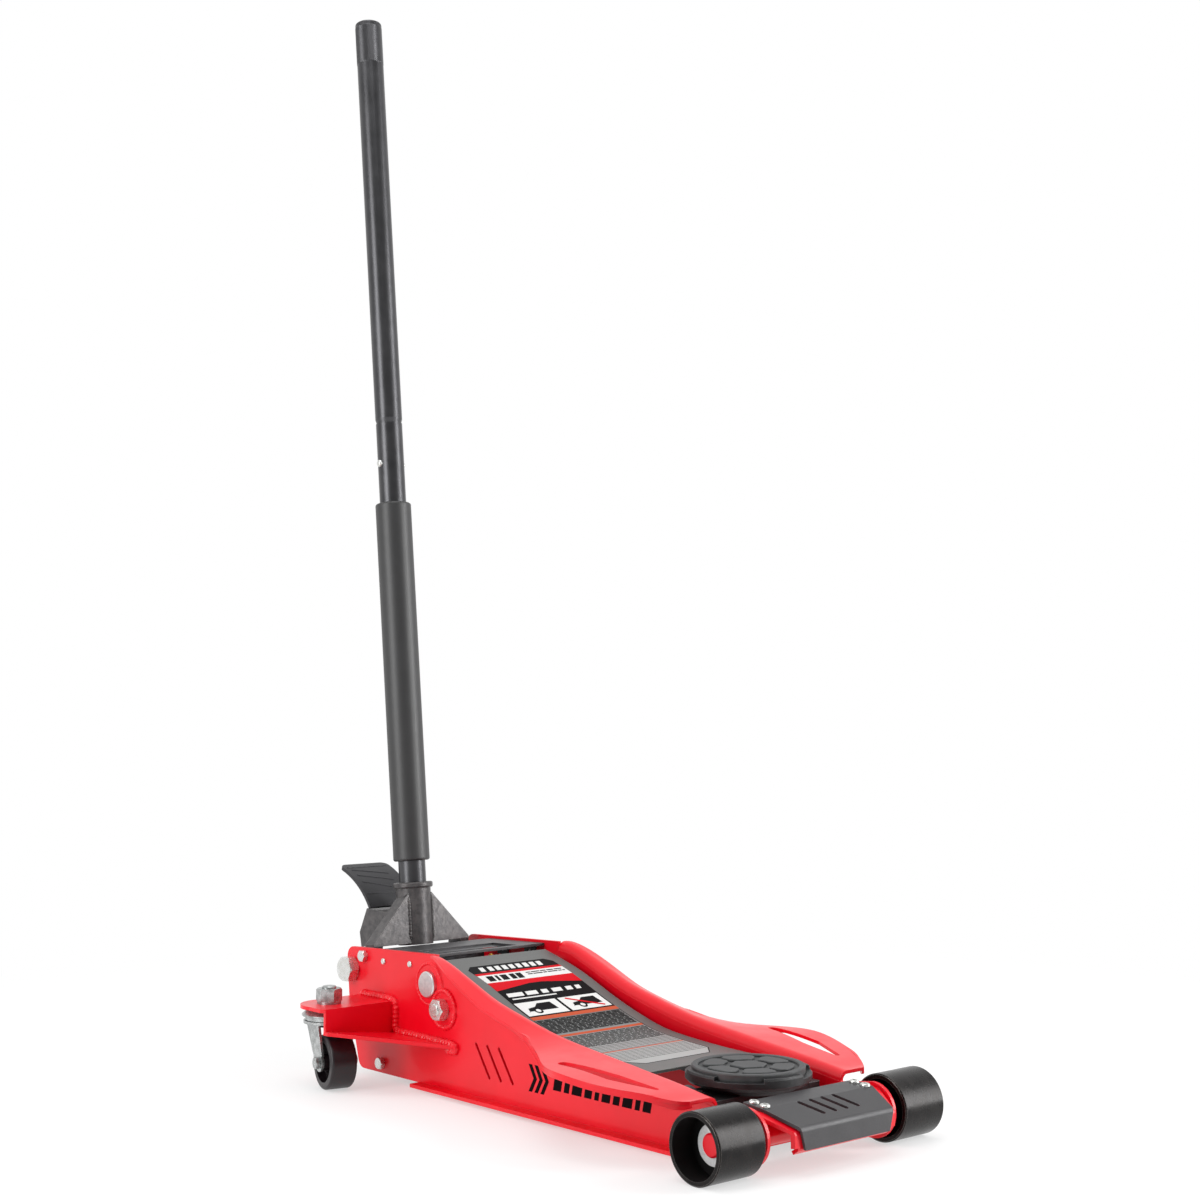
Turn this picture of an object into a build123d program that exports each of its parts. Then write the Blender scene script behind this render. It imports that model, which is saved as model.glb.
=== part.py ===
from build123d import *
import os
from math import atan2, cos, degrees, radians, sin, sqrt, tan

# Hydraulic floor jack, lowered, with its handle upright. All sizes are in millimetres.
# Inside this file X runs forward from the front axle, Y to the jack's left and Z up from the floor.
# Every part is moved by TO_ORIGIN as it is written, so the finished jack stands centred on X = 0.

# Frame
PLATE_INNER = 86.0
PLATE_OUTER = 90.0
SHEET = PLATE_OUTER - PLATE_INNER
PLATE_BOTTOM = 6.0
FRAME_REAR_TOP = (-648.0, 143.5)
FRAME_REAR_KNEE = (-642.0, 81.0)
FRAME_REAR_BOTTOM = (-620.0, 7.0)
FRAME_SHOULDER = (-472.0, 150.5)
FLANGE_OUTER = 105.0
FLANGE_REAR = -500.0
FLANGE_FRONT = -38.0
NOSE_RADIUS = 27.0

# Wing along the top of a side plate: X, crest height, outer edge from the middle, slope down in degrees
WING = [
    (-472.0, 150.5, 98.0, 1.0),
    (-455.0, 148.6, 103.0, 3.0),
    (-427.0, 139.3, 109.5, 10.0),
    (-393.0, 126.3, 112.5, 16.0),
    (-360.0, 114.6, 113.5, 20.0),
    (-326.0, 106.0, 114.0, 20.0),
    (-294.0, 98.5, 117.0, 18.0),
    (-262.0, 92.0, 126.5, 13.0),
    (-235.0, 88.0, 141.0, 9.0),
    (-210.0, 85.0, 157.5, 5.0),
    (-185.0, 82.0, 171.0, 2.0),
    (-155.0, 78.5, 177.0, 0.0),
    (-125.0, 75.0, 172.5, 0.0),
    (-95.0, 71.5, 160.5, 0.0),
    (-65.0, 67.5, 143.5, 0.0),
    (-40.0, 64.0, 122.0, 0.0),
]
WING_BEND = 10.0
WING_ROOT = 3.0
WING_LIP = 6.5
WING_LIP_REAR = 6

# Hand slot of a wing, as circles: X, distance from the middle, radius
HAND_SLOT = [(-188.0, 147.5, 5.5), (-126.0, 138.5, 10.0), (-80.0, 127.0, 3.0)]

# Front axle and rollers
AXLE_HEIGHT = 33.0
AXLE_RADIUS = 11.0
ROLLER_INNER = 97.7
ROLLER_OUTER = 156.0
ROLLER_WALL = 5.0
ROLLER_RECESS = 26.0
ROLLER_WEB = 10.0
ROLLER_HUB_RADIUS = 17.0
AXLE_WASHER_RADIUS = 19.0
AXLE_WASHER = 2.0
AXLE_END = 3.5

# Front cover and cross member
COVER_REAR = (-16.0, 60.8)
COVER_RISE = (8.0, 58.6)
COVER_BEND = (45.0, 45.5)
COVER_LIP_Z = 24.5
COVER_SHEET = 3.0
COVER_HALF = 77.0
COVER_FRONT_HALF = 63.9
COVER_LIP_HALF = 58.3
COVER_CHAMFER_X = 8.0
MEMBER_SHEET = 3.5
MEMBER_FRONT_HALF = 68.0
MEMBER_LEG_X = -20.0
SCREWS = [(-8.6, 70.1), (5.2, 70.2)]

# Pivots of the lifting linkage, as X and Z
SHAFT = (-484.0, 117.0)
SHAFT_RADIUS = 14.5
LINK_OFFSET = (27.0, -24.0)
ARM_FRONT = (-95.0, 48.0)
CRANK_RADIUS = 50.0
LIFT_RANGE = 65.5
ARM_INNER = 68.0
ARM_OUTER = 74.0
ARM_COVER_HALF = 77.0
LINK_INNER = 79.0
LINK_OUTER = 84.5
PIN_INNER = 53.0
NIPPLE_X = SHAFT[0] - 5.5
RUN = 0.05

# Top line of the arm cover, from its rear edge to its front edge
ARM_COVER_TOP = [
    (-485.0, 141.0),
    (-451.0, 132.0),
    (-418.0, 122.0),
    (-371.0, 103.5),
    (-320.0, 86.0),
    (-283.0, 76.5),
    (-241.0, 71.5),
    (-192.0, 68.3),
    (-151.0, 67.0),
]

# Saddle
SADDLE_X = -83.0
SADDLE_TOP = 76.2
PAD_RADIUS = 55.7
CUP_RADIUS = 62.0
CUP_TOP = 73.0
CUP_STEP = 4.0
PAD_RELIEF = 2.6

# Hydraulic unit
RAM_HEIGHT = 68.0
BORE_RADIUS = 14.0
TUBE_RADIUS = 18.0
RAM_RADIUS = 10.0
BLOCK_REAR = -638.0
BLOCK_STEP = -610.0
BLOCK_FRONT = -552.0
BLOCK_HALF = 39.0
BLOCK_TOP = 86.0
TOWER_TOP = 139.0
CRANK_PIN_RADIUS = 8.0

# Handle pivot, pump roller and plunger
YOKE = (-636.0, 118.5)
ROLLER_ARM = 22.0
ROLLER_ANGLE = 35.0
PUMP_Y = 24.0
PUMP_ROLLER_RADIUS = 8.5
PUMP_LUG_INNER = 9.8
PUMP_LUG = 4.0
PLUNGER_RADIUS = 6.0
PLUNGER_HEIGHT = 100.0
PLUNGER_GAP = 1.0

# Handle, along its own leaning axis from HANDLE_FOOT
HANDLE_FOOT = (-635.0, 138.0)
HANDLE_LEAN = 5.71
TUBE_OUTER = 16.3
TUBE_BORE = 14.1
UPPER_RADIUS = 16.7
HANDLE_JOINT = 641.0
HANDLE_LENGTH = 1168.0
END_EASE = 2.5
SLEEVE = (100.5, 540.0)
SLEEVE_RADIUS = 22.0
BUTTON_HEIGHT = 590.0
SOCKET_RADIUS = 21.0
COLLAR_RADIUS = 23.8

# Small fasteners of a side plate, as X and Z
LOCK_BOLT = (-611.5, 135.5)
TIE_BOLT = (-575.0, 18.0)
RIVETS = [(-573.0, 133.0), (-521.5, 135.0)]

# Casters
STEM = (-586.0, 155.0)
CASTER_TRAIL = 20.0
CASTER_YAW = 12.0
CASTER_RADIUS = 30.0
CASTER_HALF = 15.0
BRACKET_TOP = 91.0
BRACKET_WEB = -550.0
BRACKET_FRONT = -436.0
FORK_TOP = 73.5
FORK_DISC = 28.5
KINGPIN_RADIUS = 8.0

LINK_PIVOT = (SHAFT[0] + LINK_OFFSET[0], SHAFT[1] + LINK_OFFSET[1])
LINK_FRONT = (ARM_FRONT[0] + LINK_OFFSET[0], ARM_FRONT[1] + LINK_OFFSET[1])
CRANK_ANGLE = radians(LIFT_RANGE / 2)
CRANK_PIN = (SHAFT[0] - CRANK_RADIUS * sin(CRANK_ANGLE), SHAFT[1] - CRANK_RADIUS * cos(CRANK_ANGLE))
PUMP_ROLLER = (
    YOKE[0] - ROLLER_ARM * sin(radians(ROLLER_ANGLE)),
    YOKE[1] - ROLLER_ARM * cos(radians(ROLLER_ANGLE)),
)
LEAN = radians(HANDLE_LEAN)
HANDLE_BACK = HANDLE_FOOT[0] - (HANDLE_LENGTH - END_EASE) * sin(LEAN) - UPPER_RADIUS * cos(LEAN)
TO_ORIGIN = -(HANDLE_BACK + COVER_BEND[0]) / 2


# ---------------------------------------------------------------- helpers


def slab(sketch, low, high):
    """A flat sketch in X and Z, made solid from Y = low to Y = high."""
    return Pos(0, high, 0) * extrude(Plane.XZ * sketch, amount=high - low)


def rod_y(centre, radius, low, high):
    return Pos(centre[0], (low + high) / 2, centre[1]) * Rot(90, 0, 0) * Cylinder(radius, high - low)


def rod_x(y, z, radius, low, high):
    return Pos((low + high) / 2, y, z) * Rot(0, 90, 0) * Cylinder(radius, high - low)


def rod_z(x, y, radius, low, high):
    return Pos(x, y, (low + high) / 2) * Cylinder(radius, high - low)


def block(low, high):
    size = [b - a for a, b in zip(low, high)]
    middle = [(a + b) / 2 for a, b in zip(low, high)]
    return Pos(*middle) * Box(*size)


def disc(centre, radius):
    return Pos(*centre) * Circle(radius)


def outline(points):
    return make_face(Polyline(*points, close=True))


def sheet_profile(points, bend, thickness):
    """The edge view of a bent sheet whose middle runs through the points."""
    return trace(FilletPolyline(*points, radius=bend), line_width=thickness)


def hex_y(centre, across_corners, low, high):
    """A six-sided nut or bolt head along Y, with its outer corners eased."""
    head = slab(Pos(*centre) * RegularPolygon(across_corners / 2, 6), low, high)
    reach = across_corners / 2
    ease = rod_y(centre, reach, low, high)
    ease = chamfer(ease.edges().filter_by(GeomType.CIRCLE), 0.07 * across_corners)
    return head & ease


def both_sides(part):
    """The part and its mirror image, as a group."""
    return Compound(children=[part, other_side(part)])


def other_side(part):
    return mirror(part, about=Plane.XZ)


def on_handle(part):
    """Moves a part built round the Z axis onto the leaning handle axis."""
    return Pos(HANDLE_FOOT[0], 0, HANDLE_FOOT[1]) * Rot(0, -HANDLE_LEAN, 0) * part


def on_caster(part):
    """Moves a part built round its kingpin, trailing to +X, into place on the left."""
    return Pos(STEM[0], STEM[1], 0) * Rot(0, 0, CASTER_YAW) * part


# ---------------------------------------------------------------- frame


def wing_section(x, crest, outer, slope):
    """One cross-section of the wing: a rounded bend, then a flat flange sloping outward."""
    angle = radians(slope)
    inset = 0.25
    bend_y = PLATE_INNER + WING_BEND
    bend_z = crest - WING_BEND
    big = WING_BEND - inset
    small = WING_BEND - SHEET + inset

    def on_bend(radius, turn):
        return (bend_y + radius * sin(turn), bend_z + radius * cos(turn))

    def flange_end(radius):
        start = on_bend(radius, angle)
        return (outer, start[1] - (outer - start[0]) * tan(angle))

    quarter = radians(-90)
    middle = (quarter + angle) / 2
    top = on_bend(big, angle)
    under = on_bend(small, angle)
    line = Line((bend_y - small, bend_z - WING_ROOT), (bend_y - big, bend_z - WING_ROOT))
    line += Line((bend_y - big, bend_z - WING_ROOT), on_bend(big, quarter))
    line += ThreePointArc(on_bend(big, quarter), on_bend(big, middle), top)
    line += Line(top, flange_end(big))
    line += Line(flange_end(big), flange_end(small))
    line += Line(flange_end(small), under)
    line += ThreePointArc(under, on_bend(small, middle), on_bend(small, quarter))
    line += Line(on_bend(small, quarter), (bend_y - small, bend_z - WING_ROOT))
    station = Plane(origin=(x, 0, 0), x_dir=(0, 1, 0), z_dir=(1, 0, 0))
    return station * make_face(line)


def lip_section(x, crest, outer, slope):
    """One cross-section of the narrow lip turned down from the wing's outer edge."""
    angle = radians(slope)
    start_y = PLATE_INNER + WING_BEND + WING_BEND * sin(angle)
    start_z = crest - WING_BEND + WING_BEND * cos(angle)
    z = start_z - (outer - start_y) * tan(angle) - 0.3
    station = Plane(origin=(x, 0, 0), x_dir=(0, 1, 0), z_dir=(1, 0, 0))
    depth = z - WING_LIP
    return station * outline([(outer - 3.3, depth), (outer, depth), (outer, z), (outer - 3.3, z)])


def wing():
    """The pressed wing with its turned-down lip and its hand slot."""
    solid = loft([wing_section(*station) for station in WING])
    lip = loft([lip_section(*station) for station in WING[WING_LIP_REAR:]])
    slot = make_hull(sum([disc((x, y), radius) for x, y, radius in HAND_SLOT], Sketch()).edges())
    return solid + lip - extrude(slot, amount=2 * SADDLE_TOP)


def plate_outline():
    """Side view of a side plate, up to where its top edge turns into the wing."""
    root = [(x, crest - WING_BEND) for x, crest, _, _ in WING]
    nose_top = (0.0, AXLE_HEIGHT + NOSE_RADIUS)
    nose_bottom = (0.0, AXLE_HEIGHT - NOSE_RADIUS)
    edge = Line(FRAME_REAR_BOTTOM, FRAME_REAR_KNEE)
    edge += Line(FRAME_REAR_KNEE, FRAME_REAR_TOP)
    edge += Line(FRAME_REAR_TOP, FRAME_SHOULDER)
    edge += Line(FRAME_SHOULDER, root[0])
    edge += Spline(*root)
    edge += Line(root[-1], nose_top)
    edge += ThreePointArc(nose_top, (NOSE_RADIUS, AXLE_HEIGHT), nose_bottom)
    edge += Line(nose_bottom, FRAME_REAR_BOTTOM)
    face = make_face(edge)
    rear = face.vertices().sort_by(Axis.X)[:3]
    return fillet(rear, 12.0)


def slanted_slots():
    """Three slanted slots through the plate behind the wing."""
    cuts = []
    for x in (-388.5, -369.0, -349.0):
        slot = SlotCenterToCenter(40.0, 3.5)
        cuts.append(slab(Pos(x, 46.7) * Rot(0, 0, -54.5) * slot, PLATE_INNER - 2, PLATE_OUTER + 2))
    return cuts


def plate_holes():
    """Holes of the frame plate: shaft, link stud, handle bolt, lock bolt, tie bolt, axle and rivets."""
    holes = [
        (SHAFT, SHAFT_RADIUS + RUN),
        (LINK_PIVOT, 7.0),
        (YOKE, 9.0),
        (LOCK_BOLT, 4.0),
        (TIE_BOLT, 4.0),
        ((0.0, AXLE_HEIGHT), AXLE_RADIUS),
    ]
    holes += [(rivet, 2.5) for rivet in RIVETS]
    return [rod_y(centre, radius, PLATE_INNER - 3, PLATE_OUTER + 5) for centre, radius in holes]


def pressed_rings():
    """Raised rings pressed round the shaft and the link stud."""
    rings = []
    for centre, radius, height in ((SHAFT, 25.0, 1.4), (LINK_PIVOT, 22.5, 2.0)):
        pad = rod_y(centre, radius, PLATE_OUTER, PLATE_OUTER + height)
        rim = pad.edges().filter_by(GeomType.CIRCLE).sort_by(Axis.Y)[-1]
        rings.append(chamfer(rim, 0.8 * height))
    return rings


def side_plate():
    """Left side plate: web, wing, bottom flange, slots and holes."""
    plate = slab(plate_outline(), PLATE_INNER, PLATE_OUTER)
    low, high = PLATE_BOTTOM - SHEET / 2, PLATE_BOTTOM + SHEET / 2
    flange = block((FLANGE_REAR, PLATE_INNER, low), (FLANGE_FRONT, FLANGE_OUTER, high))
    heel = flange.edges().filter_by(Axis.X).group_by(Axis.Y)[0].sort_by(Axis.Z)[0]
    flange = fillet(heel, 3.5)
    rings = pressed_rings()
    whole = plate + flange + wing() + rings
    return whole - slanted_slots() - plate_holes()


def caster_bracket():
    """Left outrigger for a caster: top flange, web and sloping gusset, welded to the side plate."""
    reach = 32.0
    shelf = outline([
        (STEM[0] - reach, PLATE_OUTER),
        (STEM[0] - reach, STEM[1]),
        (STEM[0], STEM[1] + reach - 1),
        (BRACKET_WEB - 6, STEM[1] + reach),
        (BRACKET_WEB, STEM[1] + reach - 4),
        (BRACKET_WEB, PLATE_OUTER),
    ])
    shelf += disc(STEM, reach)
    top = extrude(Pos(0, 0, BRACKET_TOP - SHEET) * shelf, amount=SHEET)
    web = block((BRACKET_WEB - SHEET, PLATE_OUTER, 56.0), (BRACKET_WEB, STEM[1] + reach - 4, BRACKET_TOP))
    plan = outline([
        (BRACKET_WEB - SHEET, 0),
        (BRACKET_WEB - SHEET, STEM[1] + reach - 3 - PLATE_OUTER),
        (BRACKET_WEB + 4, STEM[1] + reach - 3 - PLATE_OUTER),
        (BRACKET_FRONT, 4.0),
        (BRACKET_FRONT, 0),
    ])
    gusset = Pos(0, PLATE_OUTER, 52.0) * Rot(6.5, 0, 0) * extrude(plan, amount=SHEET)
    under = Pos(0, PLATE_OUTER, 52.0) * Rot(6.5, 0, 0) * Pos(-600, 60, -25) * Box(300, 260, 50)
    whole = top + (web - under) + gusset
    whole -= rod_z(STEM[0], STEM[1], KINGPIN_RADIUS, 80, 100)
    return whole - block((-660, PLATE_INNER, 40), (-400, PLATE_OUTER, 100))


def cover_plan(half, front_half, chamfer_x):
    """Plan outline with the two front corners cut off on a slant."""
    front = COVER_BEND[0]
    corner = [(-60.0, half), (chamfer_x, half), (front, front_half), (front + 10, front_half)]
    return outline(corner + [(x, -y) for x, y in reversed(corner)])


def cross_member():
    """Front cross member: rear leg, roof under the front cover, front face and curled lower lip."""
    drop = COVER_SHEET + MEMBER_SHEET / 2 + 0.4
    front = COVER_BEND[0] - drop
    points = [
        (MEMBER_LEG_X, 14.0),
        (MEMBER_LEG_X, COVER_REAR[1] - drop),
        (COVER_RISE[0], COVER_RISE[1] - drop),
        (front, COVER_BEND[1] - drop),
        (front, 25.5),
        (front - 6.0, 21.5),
    ]
    sheet = slab(sheet_profile(points, 3.0, MEMBER_SHEET), -PLATE_INNER, PLATE_INNER)
    member = sheet & extrude(cover_plan(PLATE_INNER, MEMBER_FRONT_HALF, COVER_CHAMFER_X + 2), amount=100)
    corner = block((20.0, MEMBER_FRONT_HALF - 3, 8.0), (60.0, PLATE_INNER + 1, 27.0))
    return member - corner - other_side(corner)


def front_cover():
    """Dark front cover with slanted cut-outs, chamfered towards its front lip."""
    half = COVER_SHEET / 2
    points = [
        (COVER_REAR[0], COVER_REAR[1] - half),
        (COVER_RISE[0], COVER_RISE[1] - half),
        (COVER_BEND[0] - half, COVER_BEND[1] - half),
        (COVER_BEND[0] - half, COVER_LIP_Z),
    ]
    sheet = slab(sheet_profile(points, 4.0, COVER_SHEET), -COVER_HALF, COVER_HALF)
    cover = sheet & extrude(cover_plan(COVER_HALF, COVER_FRONT_HALF, COVER_CHAMFER_X), amount=100)
    low, high = COVER_LIP_Z - 1, COVER_BEND[1] - 3
    inner = [(COVER_FRONT_HALF, high), (COVER_LIP_HALF, low)]
    wedge = outline(inner + [(COVER_HALF, low), (COVER_HALF, high)])
    trim = extrude(Plane.YZ * wedge, amount=60)
    cover -= trim + other_side(trim)
    for y in (-24.0, -8.0, 8.0, 24.0):
        slot = Pos(20.0, y) * Rot(0, 0, 28.0) * SlotCenterToCenter(22.0, 5.5)
        cover -= extrude(slot, amount=100)
    for place in screw_places():
        hole = place * Cylinder(3.05, 12.0)
        cover -= hole + other_side(hole)
    return cover


def screw_places():
    """Where the left cover screws stand, square to the cover's rear slope."""
    slope = atan2(COVER_REAR[1] - COVER_RISE[1], COVER_RISE[0] - COVER_REAR[0])
    places = []
    for x, y in SCREWS:
        z = COVER_REAR[1] - (x - COVER_REAR[0]) * tan(slope) + 0.02
        places.append(Pos(x, y, z) * Rot(0, degrees(slope), 0))
    return places


def cover_screws():
    """Four round-headed screws that hold the front cover."""
    screws = []
    for place in screw_places():
        head = Cylinder(5.0, 2.6, align=(Align.CENTER, Align.CENTER, Align.MIN))
        head = fillet(head.edges().sort_by(Axis.Z)[-1], 1.9)
        head -= extrude(Pos(0, 0, 1.2) * RegularPolygon(2.2, 6), amount=5)
        shank = Cylinder(2.9, 2.9, align=(Align.CENTER, Align.CENTER, Align.MAX))
        screws.append(place * (head + shank))
    return Compound(children=screws + [other_side(screw) for screw in screws])


def rear_cover():
    """Dark cover sheet over the hydraulic unit, with one rectangular slot and riveted side tabs."""
    front, rear = -497.0, -600.0
    slope = (FRAME_SHOULDER[1] - FRAME_REAR_TOP[1]) / (FRAME_SHOULDER[0] - FRAME_REAR_TOP[0])
    half = PLATE_INNER - 0.2
    front_z = 146.5
    rear_z = front_z + (rear - front) * slope
    edge = outline([(rear, rear_z - 3), (rear, rear_z), (front, front_z), (front, front_z - 3)])
    sheet = slab(edge, -half, half)
    for x, z in RIVETS:
        tab_top = front_z + (x - 10 - front) * slope - 1
        for low, high in ((half - 2.5, half), (-half, 2.5 - half)):
            sheet += block((x - 10, low, z - 7), (x + 10, high, tab_top))
            sheet -= rod_y((x, z), 2.5, low - 1, high + 1)
    return sheet - block((-552.0, -60.0, 142.0), (-506.0, 52.0, 160.0))


def cover_rivets():
    """Four small rivets through the side plates into the rear cover's tabs."""
    rivets = []
    for centre in RIVETS:
        head = rod_y(centre, 3.7, PLATE_OUTER, PLATE_OUTER + 2.0)
        head = fillet(head.edges().sort_by(Axis.Y)[-1], 1.4)
        rivets.append(head + rod_y(centre, 2.49, PLATE_INNER - 2.4, PLATE_OUTER))
    return Compound(children=rivets + [other_side(rivet) for rivet in rivets])


def bolt_y(centre, across, head, shank, low):
    """A hexagon bolt pointing inward from the left side plate."""
    whole = hex_y(centre, across, PLATE_OUTER, PLATE_OUTER + head)
    return whole + rod_y(centre, shank, low, PLATE_OUTER + 0.5)


def yoke_bolts():
    """The two large hexagon bolts that the handle yoke turns on."""
    return both_sides(bolt_y(YOKE, 31.0, 13.0, 9.0, 57.0))


def small_bolts():
    """Four small hexagon bolts: two that lock the handle bolts and two that hold the tie tube."""
    lock = bolt_y(LOCK_BOLT, 14.0, 6.0, 3.95, PLATE_INNER + 0.5)
    tie = bolt_y(TIE_BOLT, 14.0, 6.0, 3.95, 67.0)
    bolts = [lock, tie]
    return Compound(children=bolts + [other_side(bolt) for bolt in bolts])


def tie_tube():
    """Tube that spaces the side plates at the lower rear."""
    length = PLATE_INNER
    return rod_y(TIE_BOLT, 8.0, -length, length) - rod_y(TIE_BOLT, 4.0, -length - 1, length + 1)


def link_studs():
    """Two studs that the link rods turn on, each with a thin inner head."""
    stud = rod_y(LINK_PIVOT, 6.95, LINK_INNER - 1.0, PLATE_OUTER + 14.5)
    stud = chamfer(stud.edges().sort_by(Axis.Y)[-1], 1.2)
    return both_sides(stud + rod_y(LINK_PIVOT, 11.0, LINK_INNER - 1.6, LINK_INNER - 0.1))


def link_nuts():
    nut = hex_y(LINK_PIVOT, 25.0, PLATE_OUTER + 2.0, PLATE_OUTER + 13.0)
    return both_sides(nut - rod_y(LINK_PIVOT, 6.95, PLATE_OUTER, PLATE_OUTER + 15))


# ---------------------------------------------------------------- front rollers


def front_roller():
    """Left steel roller: rim, recessed web and hub."""
    centre = (0.0, AXLE_HEIGHT)
    rim = rod_y(centre, AXLE_HEIGHT, ROLLER_INNER, ROLLER_OUTER)
    ends = rim.edges().filter_by(GeomType.CIRCLE)
    rim = chamfer(ends, 1.2)
    web_out = ROLLER_OUTER - ROLLER_RECESS
    web_in = web_out - ROLLER_WEB
    rim -= rod_y(centre, AXLE_HEIGHT - ROLLER_WALL, ROLLER_INNER - 1, web_in)
    rim -= rod_y(centre, AXLE_HEIGHT - ROLLER_WALL, web_out, ROLLER_OUTER + 1)
    hub = rod_y(centre, ROLLER_HUB_RADIUS, ROLLER_INNER, web_out)
    return rim + hub - rod_y(centre, AXLE_RADIUS + RUN, ROLLER_INNER - 1, ROLLER_OUTER + 1)


def front_axle():
    """Solid axle through both side plates, with eased ends."""
    reach = ROLLER_OUTER - ROLLER_RECESS + AXLE_WASHER + AXLE_END + 0.4
    axle = rod_y((0.0, AXLE_HEIGHT), AXLE_RADIUS, -reach, reach)
    return chamfer(axle.edges().filter_by(GeomType.CIRCLE), 1.5)


def axle_washers():
    """Bright washers outside the roller webs and plain ones against the frame."""
    centre = (0.0, AXLE_HEIGHT)
    web_out = ROLLER_OUTER - ROLLER_RECESS
    bore = AXLE_RADIUS + RUN
    outer = rod_y(centre, AXLE_WASHER_RADIUS, web_out + 0.4, web_out + 0.4 + AXLE_WASHER)
    outer -= rod_y(centre, bore, web_out, web_out + 5)
    inner = rod_y(centre, ROLLER_HUB_RADIUS, PLATE_OUTER + 0.1, ROLLER_INNER - 0.4)
    inner -= rod_y(centre, bore, PLATE_OUTER, ROLLER_INNER + 1)
    group = [outer, inner]
    return Compound(children=group + [other_side(piece) for piece in group])


# ---------------------------------------------------------------- lift arm and linkage


def arm_plate_outline():
    """Side view of one arm plate, under the cover and round its two pivots."""
    roof = [(x, z - 3.3) for x, z in ARM_COVER_TOP]
    edge = Spline(*roof)
    edge += Line(roof[-1], (ARM_FRONT[0] - 14, ARM_FRONT[1] + 12))
    edge += Line((ARM_FRONT[0] - 14, ARM_FRONT[1] + 12), (ARM_FRONT[0] - 2, ARM_FRONT[1] - 15))
    edge += Line((ARM_FRONT[0] - 2, ARM_FRONT[1] - 15), (-210.0, 34.0))
    edge += Line((-210.0, 34.0), (-330.0, 44.0))
    edge += Line((-330.0, 44.0), (SHAFT[0] + 6, SHAFT[1] - 22))
    edge += Line((SHAFT[0] + 6, SHAFT[1] - 22), roof[0])
    return make_face(edge) + disc(SHAFT, 20.5) + disc(ARM_FRONT, 15.0)


def crank_outline():
    """Side view of a crank lug: hub to crank pin."""
    hub = disc(SHAFT, 20.0)
    eye = disc(CRANK_PIN, 14.0)
    return make_hull((hub + eye).edges())


def lift_arm():
    """Welded arm: two side plates, the hub round the main shaft and two crank lugs."""
    side = slab(arm_plate_outline(), ARM_INNER, ARM_OUTER)
    lug = slab(crank_outline(), 22.0, 30.0)
    hub = rod_y(SHAFT, 19.5, -ARM_COVER_HALF, ARM_COVER_HALF)
    tie = slab(outline([(-330, 50), (-322, 50), (-322, 74), (-330, 76)]), -ARM_INNER, ARM_INNER)
    whole = side + other_side(side) + lug + other_side(lug) + hub + tie
    whole -= rod_y(SHAFT, SHAFT_RADIUS + RUN, -100, 100)
    whole -= rod_y(CRANK_PIN, CRANK_PIN_RADIUS, -40, 40)
    whole -= rod_z(NIPPLE_X, 0, 2.8, SHAFT[1], SHAFT[1] + 25)
    for low, high in ((60.0, 80.0), (-80.0, -60.0)):
        whole -= rod_y(ARM_FRONT, 8.0 + RUN, low, high)
    return whole


def arm_cover():
    """Curved cover sheet of the arm, with its edges turned down."""
    under = [(x, z - 3.0) for x, z in reversed(ARM_COVER_TOP)]
    first, last = ARM_COVER_TOP[0], ARM_COVER_TOP[-1]
    edge = Spline(*ARM_COVER_TOP) + Line(last, under[0]) + Spline(*under) + Line(under[-1], first)
    roof = slab(make_face(edge), -ARM_COVER_HALF, ARM_COVER_HALF)
    skirt_low = [(x, z - 11.0) for x, z in reversed(ARM_COVER_TOP)]
    skirt_edge = Spline(*ARM_COVER_TOP) + Line(last, skirt_low[0])
    skirt_edge += Spline(*skirt_low) + Line(skirt_low[-1], first)
    skirt = slab(make_face(skirt_edge), ARM_OUTER, ARM_COVER_HALF)
    whole = roof + skirt + other_side(skirt)
    return whole - rod_y(SHAFT, 20.6, -100, 100)


def grease_nipple():
    """Brass nipple screwed into the hub behind the cover."""
    x = NIPPLE_X
    base = SHAFT[1] + 16.0
    stem = rod_z(x, 0, 2.75, base, base + 8)
    stem += rod_z(x, 0, 1.6, base + 7, base + 9.4)
    return stem + Pos(x, 0, base + 4.6) * extrude(RegularPolygon(3.8, 6), amount=2.2)


def main_shaft():
    shaft = rod_y(SHAFT, SHAFT_RADIUS, -PLATE_OUTER - 6, PLATE_OUTER + 6)
    return chamfer(shaft.edges().filter_by(GeomType.CIRCLE), 1.2)


def shaft_spacers():
    """Sleeves on the main shaft between the arm and the side plates."""
    sleeve = rod_y(SHAFT, 18.5, ARM_COVER_HALF + 0.3, PLATE_INNER - 0.2)
    return both_sides(sleeve - rod_y(SHAFT, SHAFT_RADIUS + RUN, 70, 90))


def crank_pin():
    return rod_y(CRANK_PIN, CRANK_PIN_RADIUS, -31.5, 31.5)


def link_rod():
    """Left link rod that keeps the saddle level."""
    run = (LINK_FRONT[0] - LINK_PIVOT[0], LINK_FRONT[1] - LINK_PIVOT[1])
    length = sqrt(run[0] ** 2 + run[1] ** 2)
    turn = degrees(atan2(run[1], run[0]))
    middle = ((LINK_FRONT[0] + LINK_PIVOT[0]) / 2, (LINK_FRONT[1] + LINK_PIVOT[1]) / 2)
    bar = Pos(*middle) * Rot(0, 0, turn) * Rectangle(length, 15.0)
    shape = bar + disc(LINK_PIVOT, 12.0) + disc(LINK_FRONT, 12.0)
    rod = slab(shape, LINK_INNER, LINK_OUTER)
    rod -= rod_y(LINK_PIVOT, 7.0 + RUN, 70, 100)
    return rod - rod_y(LINK_FRONT, 7.0 + 3 * RUN, 70, 100)


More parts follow.
